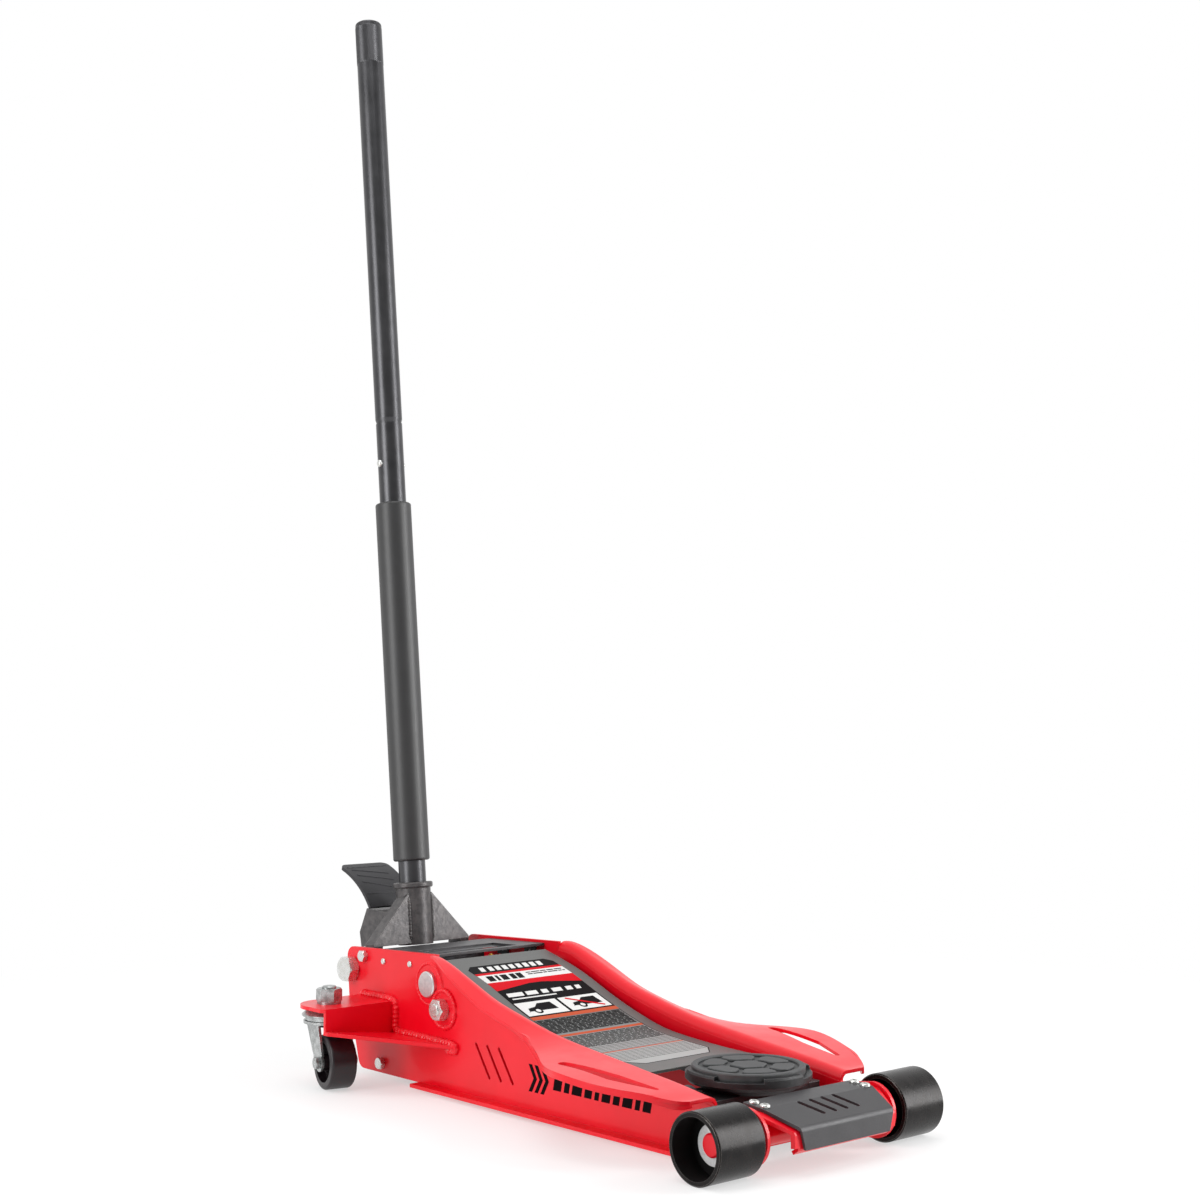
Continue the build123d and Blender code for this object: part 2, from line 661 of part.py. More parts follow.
def saddle_bracket():
    """Cast block that carries the saddle, with a wide front lip."""
    body = block((-112.0, -66.0, 14.0), (-57.0, 66.0, 54.0))
    body = fillet(body.edges().filter_by(Axis.Y).group_by(Axis.Z)[0], 10.0)
    lip = block((-78.0, -76.0, 45.0), (-57.0, 76.0, 54.0))
    lip = fillet(lip.edges().filter_by(Axis.Z), 3.0)
    body += lip
    body -= rod_z(SADDLE_X, 0, 14.0 + RUN, 0, 60)
    body -= rod_z(SADDLE_X, 0, 24.0, 0, 26)
    for low, high in ((PIN_INNER, 67.0), (-67.0, -PIN_INNER)):
        body -= rod_y(ARM_FRONT, 8.0, low, high) + rod_y(LINK_FRONT, 7.0, low, high)
    return body


def front_pins():
    """Four stub pins from the saddle bracket into the arm plates and the link rods."""
    pins = []
    for centre, radius, reach in ((ARM_FRONT, 8.0, 77.0), (LINK_FRONT, 7.0, LINK_OUTER + 1.0)):
        pin = rod_y(centre, radius, PIN_INNER, reach)
        pins.append(chamfer(pin.edges().sort_by(Axis.Y)[-1], 0.8))
    return Compound(children=pins + [other_side(pin) for pin in pins])


# ---------------------------------------------------------------- saddle


def saddle_cup():
    """Cast saddle: flared cup, stepped rim with four long gaps, and its stem."""
    rim = CUP_RADIUS
    profile = outline([
        (0, 26.5),
        (14.0, 26.5),
        (14.0, 54.3),
        (46.0, 54.3),
        (50.0, 57.0),
        (rim - 3, 60.5),
        (rim, 63.5),
        (rim, 71.0),
        (rim - 1, CUP_TOP),
        (PAD_RADIUS + 0.8, CUP_TOP),
        (PAD_RADIUS + 0.3, 66.0),
        (0, 66.0),
    ])
    cup = revolve(Plane.XZ * profile, Axis.Z)
    for turn in (35.0, 125.0, 215.0, 305.0):
        gap = extrude(Pos(0, 0, CUP_TOP - CUP_STEP) * outline([(0, 0), (80, -34), (80, 34)]), amount=10)
        cup -= Rot(0, 0, turn) * gap
    return Pos(SADDLE_X, 0, 0) * cup


def pad_sector(turn):
    """One raised island of the pad pattern."""
    ring = Circle(44.5) - Circle(23.5)
    wedge = outline([(0, 0), (60, 60 * tan(radians(25))), (60, -60 * tan(radians(25)))])
    piece = ring & wedge
    piece = fillet(piece.vertices(), 6.0)
    return Rot(0, 0, turn) * piece


def saddle_pad():
    """Moulded pad with a hexagon, six islands and a rim standing above its floor."""
    low = SADDLE_TOP - PAD_RELIEF
    floor = rod_z(0, 0, PAD_RADIUS, 66.0, low)
    band = Circle(PAD_RADIUS) - Circle(PAD_RADIUS - 6.5)
    rim = extrude(Pos(0, 0, low - 0.2) * band, amount=PAD_RELIEF + 0.2)
    rim = chamfer(rim.edges().filter_by(GeomType.CIRCLE).group_by(Axis.Z)[-1], 1.0)
    pattern = fillet(RegularPolygon(19.0, 6).vertices(), 2.5)
    for step in range(6):
        pattern += pad_sector(30.0 + 60.0 * step)
    raised = extrude(Pos(0, 0, low - 0.2) * pattern, amount=PAD_RELIEF + 0.2)
    raised = chamfer(raised.edges().group_by(Axis.Z)[-1], 0.7)
    return Pos(SADDLE_X, 0, 0) * (floor + rim + raised)


def saddle_ring():
    """Retaining ring under the saddle's stem."""
    ring = rod_z(SADDLE_X, 0, 21.0, 22.5, 24.8)
    plug = rod_z(SADDLE_X, 0, 12.0, 22.5, 26.5)
    return ring + plug


# ---------------------------------------------------------------- hydraulic unit


def valve_block():
    """Cast block with the rear of the cylinder bore and a tower for pump and release valve."""
    low = RAM_HEIGHT - TUBE_RADIUS
    body = block((BLOCK_REAR, -BLOCK_HALF, low), (BLOCK_FRONT, BLOCK_HALF, BLOCK_TOP))
    tower = block((BLOCK_STEP, -BLOCK_HALF, low), (BLOCK_FRONT, BLOCK_HALF, TOWER_TOP))
    whole = fillet((body + tower).edges().filter_by(Axis.X), 3.0)
    whole -= rod_x(0, RAM_HEIGHT, BORE_RADIUS + RUN, -620.0, -540.0)
    whole -= rod_x(0, RAM_HEIGHT, TUBE_RADIUS - 1.0, -585.0, -540.0)
    whole -= rod_x(PUMP_Y, PLUNGER_HEIGHT, 10.2, BLOCK_STEP - 1, -566.0)
    whole -= rod_x(-16.0, 112.0, 5.05, BLOCK_STEP - 1, -580.0)
    for y in (-1, 1):
        reach = sorted((BLOCK_HALF * y, PLATE_INNER * y))
        foot = block((-600.0, reach[0], 56.0), (-585.0, reach[1], 76.0))
        whole += foot
    return whole


def cylinder_tube():
    tube = rod_x(0, RAM_HEIGHT, TUBE_RADIUS - 1.0, -585.0, -533.0)
    return tube - rod_x(0, RAM_HEIGHT, BORE_RADIUS + RUN, -600.0, -530.0)


def gland_nut():
    """Ring that closes the cylinder round the ram."""
    ring = rod_x(0, RAM_HEIGHT, BORE_RADIUS, -541.0, -533.0) + rod_x(0, RAM_HEIGHT, 17.0, -533.0, -529.5)
    return ring - rod_x(0, RAM_HEIGHT, RAM_RADIUS + RUN, -545.0, -525.0)


def ram():
    """Ram rod with its piston."""
    rod = rod_x(0, RAM_HEIGHT, RAM_RADIUS, -606.0, CRANK_PIN[0] - 17.0)
    return rod + rod_x(0, RAM_HEIGHT, BORE_RADIUS, -618.0, -606.0) - groove_ring(0.0)


def piston_seal():
    return groove_ring(0.02)


def groove_ring(gap):
    """The seal's ring-shaped space round the piston."""
    ring = rod_x(0, RAM_HEIGHT, BORE_RADIUS + gap, -614.0, -610.0)
    return ring - rod_x(0, RAM_HEIGHT, BORE_RADIUS - 3.0, -615.0, -609.0)


def ram_head():
    """Slotted head of the ram that pushes the crank pin."""
    x = CRANK_PIN[0]
    head = block((x - 17.0, -18.0, RAM_HEIGHT - 17.0), (x + 17.0, 18.0, RAM_HEIGHT + 23.0))
    head = fillet(head.edges().filter_by(Axis.Y), 6.0)
    width = 2 * (CRANK_PIN_RADIUS + 0.75)
    slot = Pos(x, RAM_HEIGHT + 2.5) * Rot(0, 0, 90) * SlotOverall(width + 10.5, width)
    return head - slab(slot, -20, 20)


def plunger_face():
    return PUMP_ROLLER[0] + PUMP_ROLLER_RADIUS + PLUNGER_GAP


def pump_plunger():
    """Plunger with the broad head that the pump roller pushes."""
    rear = plunger_face()
    cap = rod_x(PUMP_Y, PLUNGER_HEIGHT, 9.4, rear, rear + 2.5)
    cap = chamfer(cap.edges().sort_by(Axis.X)[0], 0.8)
    return cap + rod_x(PUMP_Y, PLUNGER_HEIGHT, PLUNGER_RADIUS, rear + 2, rear + 31.0)


def coil(radius, wire, pitch, turns):
    """A round-wire coil spring round the Z axis, from Z = 0."""
    path = Helix(pitch=pitch, height=pitch * turns, radius=radius)
    start = Plane(origin=path @ 0, z_dir=path % 0)
    return sweep(start * Circle(wire), path=path)


def plunger_spring():
    rear = plunger_face() + 2.5
    spring = coil(7.8, 0.9, 3.6, 6.5)
    return Pos(rear + 1.0, PUMP_Y, PLUNGER_HEIGHT) * Rot(0, 90, 0) * spring


def release_valve():
    """Release valve screw with the forked end that the handle turns."""
    y, z = -16.0, 112.0
    stem = rod_x(y, z, 5.0, BLOCK_STEP - 8, -582.0)
    fork = rod_x(y, z, 7.5, BLOCK_STEP - 16, BLOCK_STEP - 6)
    return stem + fork - block((BLOCK_STEP - 17, y - 2.5, z - 9), (BLOCK_STEP - 10, y + 2.5, z + 9))


# ---------------------------------------------------------------- handle yoke and pedal


def yoke_frame():
    """Yoke weldment: front plate, slanted side flanges, ears to the pivots and lugs for the pump roller."""
    foot, top = 3.0, 62.0
    wide, narrow = 69.5, 17.0
    front = outline([
        (-wide, foot), (wide, foot), (wide, foot + 3), (narrow, top), (-narrow, top), (-wide, foot + 3)
    ])
    upright = Plane(origin=(8.5, 0, 0), x_dir=(0, 1, 0), z_dir=(1, 0, 0))
    plate = extrude(upright * front, amount=5.0)
    outer = [(wide, foot), (wide, foot + 3), (narrow, top)]
    band = outline(outer + [(narrow - 1, top - 6), (wide - 7, foot)])
    flange_plane = Plane(origin=(-5.0, 0, 0), x_dir=(0, 1, 0), z_dir=(1, 0, 0))
    flange = extrude(flange_plane * band, amount=13.6)
    shell = on_handle(plate + flange + other_side(flange))
    shell -= on_handle(rod_z(0, 0, SOCKET_RADIUS, -20, 120))
    ear_foot = [(YOKE[0] + 12, YOKE[1] + 6), (YOKE[0] - 13, YOKE[1] - 4)]
    ear = outline([(-646.0, 140.5), (-622.0, 143.0)] + ear_foot)
    ears = slab(ear + disc(YOKE, 15.0), 57.0, 69.5)
    boss = rod_y(YOKE, 15.0, 57.0, PLATE_INNER - 0.8)
    bar = block((-641.0, -69.5, 130.5), (-625.0, 69.5, 136.5))
    shell += ears + other_side(ears) + boss + other_side(boss) + bar
    x, z = PUMP_ROLLER
    neck = outline([(-641.0, 134.0), (-626.0, 134.0), (x + 8, z), (x - 8, z)])
    for low in (PUMP_Y - PUMP_LUG_INNER - PUMP_LUG, PUMP_Y + PUMP_LUG_INNER):
        shell += slab(neck + disc(PUMP_ROLLER, 8.4), low, low + PUMP_LUG)
    shell -= rod_y(PUMP_ROLLER, 4.0, 0, 60)
    return shell - rod_y(YOKE, 9.0 + RUN, 50, 95) - rod_y(YOKE, 9.0 + RUN, -95, -50)


def handle_socket():
    """Socket tube with its collar."""
    tube = rod_z(0, 0, SOCKET_RADIUS, 1.0, 68.0)
    collar = rod_z(0, 0, COLLAR_RADIUS, 68.0, 75.0)
    collar = fillet(collar.edges().filter_by(GeomType.CIRCLE), 2.2)
    return on_handle(tube + collar - rod_z(0, 0, TUBE_OUTER + 0.08, -1, 80))


def pump_roller():
    reach = PUMP_LUG_INNER - 0.4
    roller = rod_y(PUMP_ROLLER, PUMP_ROLLER_RADIUS, PUMP_Y - reach, PUMP_Y + reach)
    return roller - rod_y(PUMP_ROLLER, 4.0 + RUN, 0, 60)


def roller_pin():
    reach = PUMP_LUG_INNER + PUMP_LUG + 1.0
    return rod_y(PUMP_ROLLER, 4.0, PUMP_Y - reach, PUMP_Y + reach)


def pedal_bracket():
    """Channel that carries the foot pedal behind the yoke."""
    side = outline([
        (-641.0, 146.0), (-641.0, 176.0), (-703.0, 178.0), (-718.0, 148.0), (-714.0, 130.0), (-690.0, 136.0)
    ])
    cheek = slab(side, 21.5, 25.0)
    back = slab(outline([(-703.0, 178.0), (-718.0, 148.0), (-714.5, 146.5), (-700.0, 175.0)]), -22.0, 22.0)
    roof = slab(outline([(-662.5, 177.0), (-703.0, 178.0), (-703.0, 174.5), (-662.5, 173.5)]), -22.0, 22.0)
    channel = cheek + other_side(cheek) + back + roof
    return channel - on_handle(rod_z(0, 0, SOCKET_RADIUS, -20, 120))


def foot_pedal():
    """Curved tread plate of the foot pedal."""
    line = Spline((-684.0, 180.5), (-698.0, 197.5), (-720.0, 213.5), (-751.0, 226.0))
    tread = slab(trace(line, line_width=4.0), -34.0, 34.0)
    corners = tread.edges().group_by(SortBy.LENGTH)[0]
    tip = [edge for edge in corners if edge.center().X < -740]
    tread = fillet(tip, 9.0)
    return tread - slab(outline([(-640, 178.1), (-703, 178.1), (-703, 150), (-640, 150)]), -40, 40)


# ---------------------------------------------------------------- handle


def lower_tube():
    tube = rod_z(0, 0, TUBE_OUTER, 8.0, HANDLE_JOINT) - rod_z(0, 0, TUBE_BORE, 0, HANDLE_JOINT + 1)
    return on_handle(tube - button_holes())


def button_holes():
    return Pos(0, 0, BUTTON_HEIGHT) * Rot(90, 0, 0) * Cylinder(4.6, 60)


def foam_sleeve():
    low, high = SLEEVE
    sleeve = rod_z(0, 0, SLEEVE_RADIUS, low, high)
    sleeve = fillet(sleeve.edges().filter_by(GeomType.CIRCLE), 3.0)
    return on_handle(sleeve - rod_z(0, 0, TUBE_OUTER, low - 1, high + 1))


def upper_tube():
    """Upper handle section: full tube, crimped shoulder and the neck inside the lower tube."""
    bore = 12.0
    neck = TUBE_BORE - 0.1
    profile = outline([
        (bore, HANDLE_JOINT - 90),
        (neck, HANDLE_JOINT - 90),
        (neck, HANDLE_JOINT + 0.1),
        (UPPER_RADIUS - 1.6, HANDLE_JOINT + 0.1),
        (UPPER_RADIUS, HANDLE_JOINT + 6),
        (UPPER_RADIUS, HANDLE_LENGTH - 4),
        (bore, HANDLE_LENGTH - 4),
    ])
    tube = revolve(Plane.XZ * profile, Axis.Z)
    return on_handle(tube - button_holes())


def end_cap():
    plug = rod_z(0, 0, UPPER_RADIUS, HANDLE_LENGTH - 4, HANDLE_LENGTH)
    plug = fillet(plug.edges().filter_by(GeomType.CIRCLE).sort_by(Axis.Z)[-1], END_EASE)
    return on_handle(plug + rod_z(0, 0, 11.9, HANDLE_LENGTH - 16, HANDLE_LENGTH - 4))


def snap_button():
    """Left snap button: domed pin with an inner head."""
    pin = Pos(0, 0, 8.8) * Cylinder(4.5, 11.0, align=(Align.CENTER, Align.CENTER, Align.MIN))
    pin = fillet(pin.edges().sort_by(Axis.Z)[-1], 3.0)
    head = Pos(0, 0, 7.2) * Cylinder(6.0, 1.8, align=(Align.CENTER, Align.CENTER, Align.MIN))
    return on_handle(Pos(0, 0, BUTTON_HEIGHT) * Rot(-90, 0, 0) * (pin + head))


# ---------------------------------------------------------------- casters


def caster_fork():
    """Pressed fork of one caster, built round its kingpin and trailing to +X."""
    inner = CASTER_HALF + 1.5
    outer = inner + 3.0
    foot = [(CASTER_TRAIL + 9, 38.0), (CASTER_TRAIL - 9.5, 26.0)]
    leg = outline([(-22.0, FORK_TOP), (16.0, FORK_TOP)] + foot)
    leg = slab(leg + disc((CASTER_TRAIL, 30.0), 10.0), inner, outer)
    top = rod_z(0, 0, FORK_DISC, FORK_TOP - 3, FORK_TOP)
    fork = leg + other_side(leg) + top
    fork -= rod_z(0, 0, KINGPIN_RADIUS + RUN, 60, 90)
    return on_caster(fork - rod_y((CASTER_TRAIL, 30.0), 4.0, -30, 30))


def caster_axle():
    """Axle bolt and nut of one caster."""
    centre = (CASTER_TRAIL, 30.0)
    edge = CASTER_HALF + 4.5
    bolt = rod_y(centre, 4.0, -edge - 4, edge + 1)
    bolt += hex_y(centre, 14.0, edge, edge + 5)
    return on_caster(bolt + hex_y(centre, 14.0, -edge - 5, -edge))


def caster_wheel():
    """Moulded wheel with a recessed, pierced web and a hub."""
    centre = (CASTER_TRAIL, 30.0)
    wheel = rod_y(centre, CASTER_RADIUS, -CASTER_HALF, CASTER_HALF)
    wheel = fillet(wheel.edges().filter_by(GeomType.CIRCLE), 3.0)
    wheel -= rod_y(centre, 22.0, 5.0, 20.0) + rod_y(centre, 22.0, -20.0, -5.0)
    wheel += rod_y(centre, 9.0, -CASTER_HALF - 1, CASTER_HALF + 1)
    for step in range(6):
        turn = radians(60.0 * step)
        spot = (centre[0] + 15.5 * cos(turn), centre[1] + 15.5 * sin(turn))
        wheel -= rod_y(spot, 3.5, -20, 20)
    return on_caster(wheel - rod_y(centre, 4.0 + RUN, -30, 30))


def caster_kingpins():
    """Kingpin bolts that stay with the brackets."""
    pin = rod_z(0, 0, KINGPIN_RADIUS, FORK_TOP - 4, BRACKET_TOP + 19.5)
    pin = chamfer(pin.edges().filter_by(GeomType.CIRCLE).sort_by(Axis.Z)[-1], 1.0)
    head = rod_z(0, 0, 12.0, FORK_TOP - 8, FORK_TOP - 3.1)
    return both_sides(on_caster(pin + head))


def caster_nuts():
    """Flat washer and nut above each bracket."""
    low = BRACKET_TOP + 3.0
    high = low + 14.0
    across = 29.5
    washer = rod_z(0, 0, 13.4, BRACKET_TOP, low)
    nut = Pos(0, 0, low) * extrude(RegularPolygon(across / 2, 6), amount=high - low)
    ease = rod_z(0, 0, across / 2, low, high)
    ease = chamfer(ease.edges().filter_by(GeomType.CIRCLE).sort_by(Axis.Z)[-1], 1.8)
    return both_sides(on_caster(washer + (nut & ease) - rod_z(0, 0, KINGPIN_RADIUS, 80, 120)))


def race_cups():
    """Cone-shaped ball race covers between fork and bracket, each with a narrower neck."""
    bore = KINGPIN_RADIUS + 0.02
    top = BRACKET_TOP - SHEET
    low = FORK_TOP + 0.4
    lower = [(bore, low), (26.5, low), (26.5, 78.3), (30.3, 78.6), (30.3, 80.2)]
    profile = outline(lower + [(24.0, 86.0), (24.0, top), (bore, top)])
    return both_sides(on_caster(revolve(Plane.XZ * profile, Axis.Z)))


# ---------------------------------------------------------------- writing


def paired(name, part):
    """A left part and its mirror image on the right."""
    return {name + "_left": part, name + "_right": other_side(part)}


def all_parts():
    parts = {}
    parts.update(paired("side_plate", side_plate()))
    parts.update(paired("caster_bracket", caster_bracket()))
    parts["front_cross_member"] = cross_member()
    parts["front_cover"] = front_cover()
    parts["front_cover_screws"] = cover_screws()
    parts["rear_cover"] = rear_cover()
    parts["rear_cover_rivets"] = cover_rivets()
    parts["yoke_pivot_bolts"] = yoke_bolts()
    parts["small_frame_bolts"] = small_bolts()
    parts["tie_tube"] = tie_tube()
    parts["link_studs"] = link_studs()
    parts["link_nuts"] = link_nuts()
    parts["front_axle"] = front_axle()
    parts["axle_washers"] = axle_washers()
    parts["main_shaft"] = main_shaft()
    parts["shaft_spacers"] = shaft_spacers()
    parts.update(paired("front_roller", front_roller()))
    parts["lift_arm"] = lift_arm()
    parts["lift_arm_cover"] = arm_cover()
    parts["grease_nipple"] = grease_nipple()
    parts["crank_pin"] = crank_pin()
    parts["link_rods"] = both_sides(link_rod())
    parts["saddle_bracket"] = saddle_bracket()
    parts["saddle_bracket_pins"] = front_pins()
    parts["saddle_cup"] = saddle_cup()
    parts["saddle_pad"] = saddle_pad()
    parts["saddle_retaining_ring"] = saddle_ring()
    parts["valve_block"] = valve_block()
    parts["cylinder_tube"] = cylinder_tube()
    parts["gland_nut"] = gland_nut()
    parts["ram"] = ram()
    parts["piston_seal"] = piston_seal()
    parts["ram_head"] = ram_head()
    parts["pump_plunger"] = pump_plunger()
    parts["plunger_spring"] = plunger_spring()
    parts["release_valve"] = release_valve()
    parts["yoke_frame"] = yoke_frame()
    parts["handle_socket"] = handle_socket()
    parts["pump_roller"] = pump_roller()
    parts["pump_roller_pin"] = roller_pin()
    parts["pedal_bracket"] = pedal_bracket()
    parts["foot_pedal"] = foot_pedal()
    parts["handle_lower_tube"] = lower_tube()
    parts["handle_foam_sleeve"] = foam_sleeve()
    parts["handle_upper_tube"] = upper_tube()
    parts["handle_end_cap"] = end_cap()
    parts.update(paired("snap_button", snap_button()))
    parts.update(paired("caster_fork", caster_fork()))
    parts.update(paired("caster_axle", caster_axle()))
    parts.update(paired("caster_wheel", caster_wheel()))
    parts["caster_kingpins"] = caster_kingpins()
    parts["caster_nuts"] = caster_nuts()
    parts["caster_race_cups"] = race_cups()
    return parts


os.makedirs("parts", exist_ok=True)
for node, shape in all_parts().items():
    export_step(Pos(TO_ORIGIN, 0, 0) * shape, "parts/" + node + ".step")
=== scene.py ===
from math import ceil, cos, pi, radians, sin

import bmesh
import bpy
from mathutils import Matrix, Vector
from mathutils.bvhtree import BVHTree


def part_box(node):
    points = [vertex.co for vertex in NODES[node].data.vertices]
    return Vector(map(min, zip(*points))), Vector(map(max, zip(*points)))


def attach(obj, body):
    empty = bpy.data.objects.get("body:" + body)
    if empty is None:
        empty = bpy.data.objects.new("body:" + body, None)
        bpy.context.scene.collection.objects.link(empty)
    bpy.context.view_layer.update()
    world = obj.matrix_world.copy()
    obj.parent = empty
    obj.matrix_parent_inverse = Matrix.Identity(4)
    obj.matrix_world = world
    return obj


# Looks of a hydraulic floor jack. Metres, X forward, Y to the jack's left, Z up from the floor.

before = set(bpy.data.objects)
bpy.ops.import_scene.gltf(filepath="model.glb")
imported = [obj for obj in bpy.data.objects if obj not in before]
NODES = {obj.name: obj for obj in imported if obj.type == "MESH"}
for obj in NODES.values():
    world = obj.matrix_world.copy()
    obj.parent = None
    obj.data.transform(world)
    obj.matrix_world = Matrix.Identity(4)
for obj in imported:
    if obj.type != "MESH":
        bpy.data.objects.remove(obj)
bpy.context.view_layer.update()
MM = 0.001


def spot(node):
    """Middle of a CAD node's box."""
    low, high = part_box(node)
    return (low + high) / 2


AXLE = spot("front_axle")
SHAFT = spot("main_shaft")
LINK_STUD = spot("link_studs")
PLATE_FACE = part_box("rear_cover_rivets")[1].y - 2.0 * MM
HANDLE_FOOT = Vector((AXLE.x - 635.0 * MM, 0.0, 138.0 * MM))
HANDLE_LEAN = radians(5.71)
HANDLE_WAY = Vector((-sin(HANDLE_LEAN), 0.0, cos(HANDLE_LEAN)))
HANDLE_RADIUS = 16.7 * MM
HANDLE_LENGTH = 1168.0 * MM
HANDLE_FRONT = Vector((cos(HANDLE_LEAN), 0.0, sin(HANDLE_LEAN)))

# Label on the arm cover, in mm: X from the front axle and half of the width
LABEL_REAR = -460.0
LABEL_FRONT = -181.0
LABEL_HALF = 61.0
LABEL_REAR_CORNER = 8.0
LABEL_FRONT_CORNER = 18.0
HEADER_END = -441.0
WHITE_BAND = (-436.0, -418.0)
CHEVRON_TIP = -409.0
CHEVRON_SIDE = -400.7
PICTURES_END = -345.0
LAYER_STEP = 0.1
FILM = 0.14

# Row printed on each side plate, in mm: X from the front axle and height
ARROWS_START = -311.0
ARROW_PITCH = 9.5
BLOCKS_START = -272.0
BLOCK_GAP = 4.2
BLOCK_WIDTHS = (12.5, 8.0, 15.0, 11.0, 6.5, 12.5, 9.5, 14.0, 7.0, 11.5)

# Camera
EYE = Vector((AXLE.x + 1.17654, -1.30889, 0.42293))
EYE_TURN = (radians(93.36), 0.0, radians(48.47))
LENS = 54.97
SENSOR = 36.0


# ---------------------------------------------------------------- materials


def display(red, green, blue):
    """A display colour, 0 to 255 a channel, as the linear colour that a shader takes."""
    linear = []
    for level in (red / 255, green / 255, blue / 255):
        linear.append(level / 12.92 if level <= 0.04045 else ((level + 0.055) / 1.055) ** 2.4)
    return (*linear, 1.0)


def paler(colour, times):
    """A colour made brighter, for painted highlights on edges."""
    return (*[min(1.0, times * level) for level in colour[:3]], 1.0)


class Graph:
    """A node material while it is being wired. Positions are in the jack's own frame, in metres."""

    def __init__(self, name):
        self.material = bpy.data.materials.new(name)
        self.material.use_nodes = True
        tree = self.material.node_tree
        self.nodes = tree.nodes
        self.links = tree.links
        self.shader = tree.nodes["Principled BSDF"]
        self.place = self.nodes.new("ShaderNodeTexCoord").outputs["Object"]

    def node(self, kind, inputs, output=0, **settings):
        made = self.nodes.new("ShaderNode" + kind)
        for name, value in settings.items():
            setattr(made, name, value)
        for name, value in inputs.items():
            self.put(made.inputs[name], value)
        return made.outputs[output]

    def put(self, socket, value):
        if isinstance(value, bpy.types.NodeSocket):
            self.links.new(value, socket)
        else:
            socket.default_value = value

    def noise(self, size, detail=3.0, roughness=0.55, stretch=None):
        """Noise whose lumps are about size metres across."""
        where = self.place
        if stretch:
            where = self.node("Mapping", {"Vector": self.place, "Scale": stretch})
        inputs = {"Vector": where, "Scale": 1 / size, "Detail": detail, "Roughness": roughness}
        return self.node("TexNoise", inputs)

    def cells(self, size, feature="F1", randomness=1.0):
        inputs = {"Vector": self.place, "Scale": 1 / size, "Randomness": randomness}
        return self.node("TexVoronoi", inputs, feature=feature)

    def scale(self, value, low, high, to_low=0.0, to_high=1.0):
        inputs = {"Value": value, "From Min": low, "From Max": high, "To Min": to_low, "To Max": to_high}
        return self.node("MapRange", inputs)

    def math(self, operation, first, second=0.0):
        return self.node("Math", {0: first, 1: second}, operation=operation)

    def mix(self, factor, first, second):
        return self.node("Mix", {0: factor, 6: first, 7: second}, output=2, data_type="RGBA")

    def bump(self, height, depth, under=None, strength=1.0):
        inputs = {"Height": height, "Distance": depth, "Strength": strength}
        if under is not None:
            inputs["Normal"] = under
        return self.node("Bump", inputs)

    def rounded(self, radius):
        """Normals that round off the sharp edges of a mesh."""
        return self.node("Bevel", {"Radius": radius}, samples=4)

    def edges(self, normal):
        """About 1 on sharp edges and 0 elsewhere, from a rounded normal."""
        flat = self.nodes.new("ShaderNodeNewGeometry").outputs["Normal"]
        turn = self.node("VectorMath", {0: normal, 1: flat}, output=1, operation="DOT_PRODUCT")
        return self.scale(turn, 0.995, 0.90)

    def split(self, output):
        """One coordinate of the position."""
        return self.node("SeparateXYZ", {0: self.place}, output=output)

    def radius_from(self, first, second, middle):
        """Distance from an axis along the third direction."""
        a = self.math("SUBTRACT", self.split(first), middle[first])
        b = self.math("SUBTRACT", self.split(second), middle[second])
        squares = self.math("ADD", self.math("POWER", a, 2.0), self.math("POWER", b, 2.0))
        return self.math("SQRT", squares)

    def finish(self, **values):
        for name, value in values.items():
            self.put(self.shader.inputs[name.replace("_", " ")], value)
        return self.material


def gloss_red(name="gloss_red_paint", deep=display(221, 0, 24), pale=display(229, 3, 30)):
    """Glossy red powder paint over pressed steel: slight orange peel, thinner and paler on edges."""
    g = Graph(name)
    soft = g.rounded(0.9 * MM)
    edge = g.edges(soft)
    cloud = g.noise(60 * MM, 2.0)
    base = g.mix(g.scale(cloud, 0.35, 0.65), deep, pale)
    worn = g.scale(g.noise(3 * MM, 4.0), 0.45, 0.62)
    colour = g.mix(g.math("MULTIPLY", g.math("MULTIPLY", edge, worn), 0.25), base, display(250, 60, 66))
    peel = g.bump(g.noise(2.2 * MM, 1.5), 0.03 * MM, soft, 0.4)
    rough = g.scale(g.noise(25 * MM, 3.0), 0.3, 0.7, 0.30, 0.38)
    return g.finish(
        Base_Color=colour, Roughness=rough, Normal=peel, Specular_IOR_Level=0.34,
        Coat_Weight=0.16, Coat_Roughness=0.1, Coat_Normal=peel
    )


def satin_coat(name, dark, light, grain=0.55 * MM, depth=0.06 * MM, roughness=(0.38, 0.5), metal=0.0):
    """Satin powder coat: fine even grain, cloudy tone and a painted highlight on its edges."""
    g = Graph(name)
    soft = g.rounded(0.6 * MM)
    edge = g.edges(soft)
    cloud = g.noise(30 * MM, 4.0)
    base = g.mix(g.scale(cloud, 0.3, 0.7), dark, light)
    speck = g.scale(g.noise(0.9 * MM, 2.0), 0.42, 0.6, 0.92, 1.08)
    base = g.node("Mix", {0: 1.0, 6: base, 7: g.node("CombineColor", {0: speck, 1: speck, 2: speck})},
                  output=2, data_type="RGBA", blend_type="MULTIPLY")
    # Painted highlight: sharp edges are mixed far towards a much paler grey.
    colour = g.mix(g.math("MULTIPLY", edge, 0.7), base, paler(light, 4.0))
    grainy = g.bump(g.noise(grain, 3.0), depth, soft, 0.6)
    rough = g.scale(cloud, 0.3, 0.7, *roughness)
    return g.finish(Base_Color=colour, Roughness=rough, Metallic=metal, Normal=grainy)


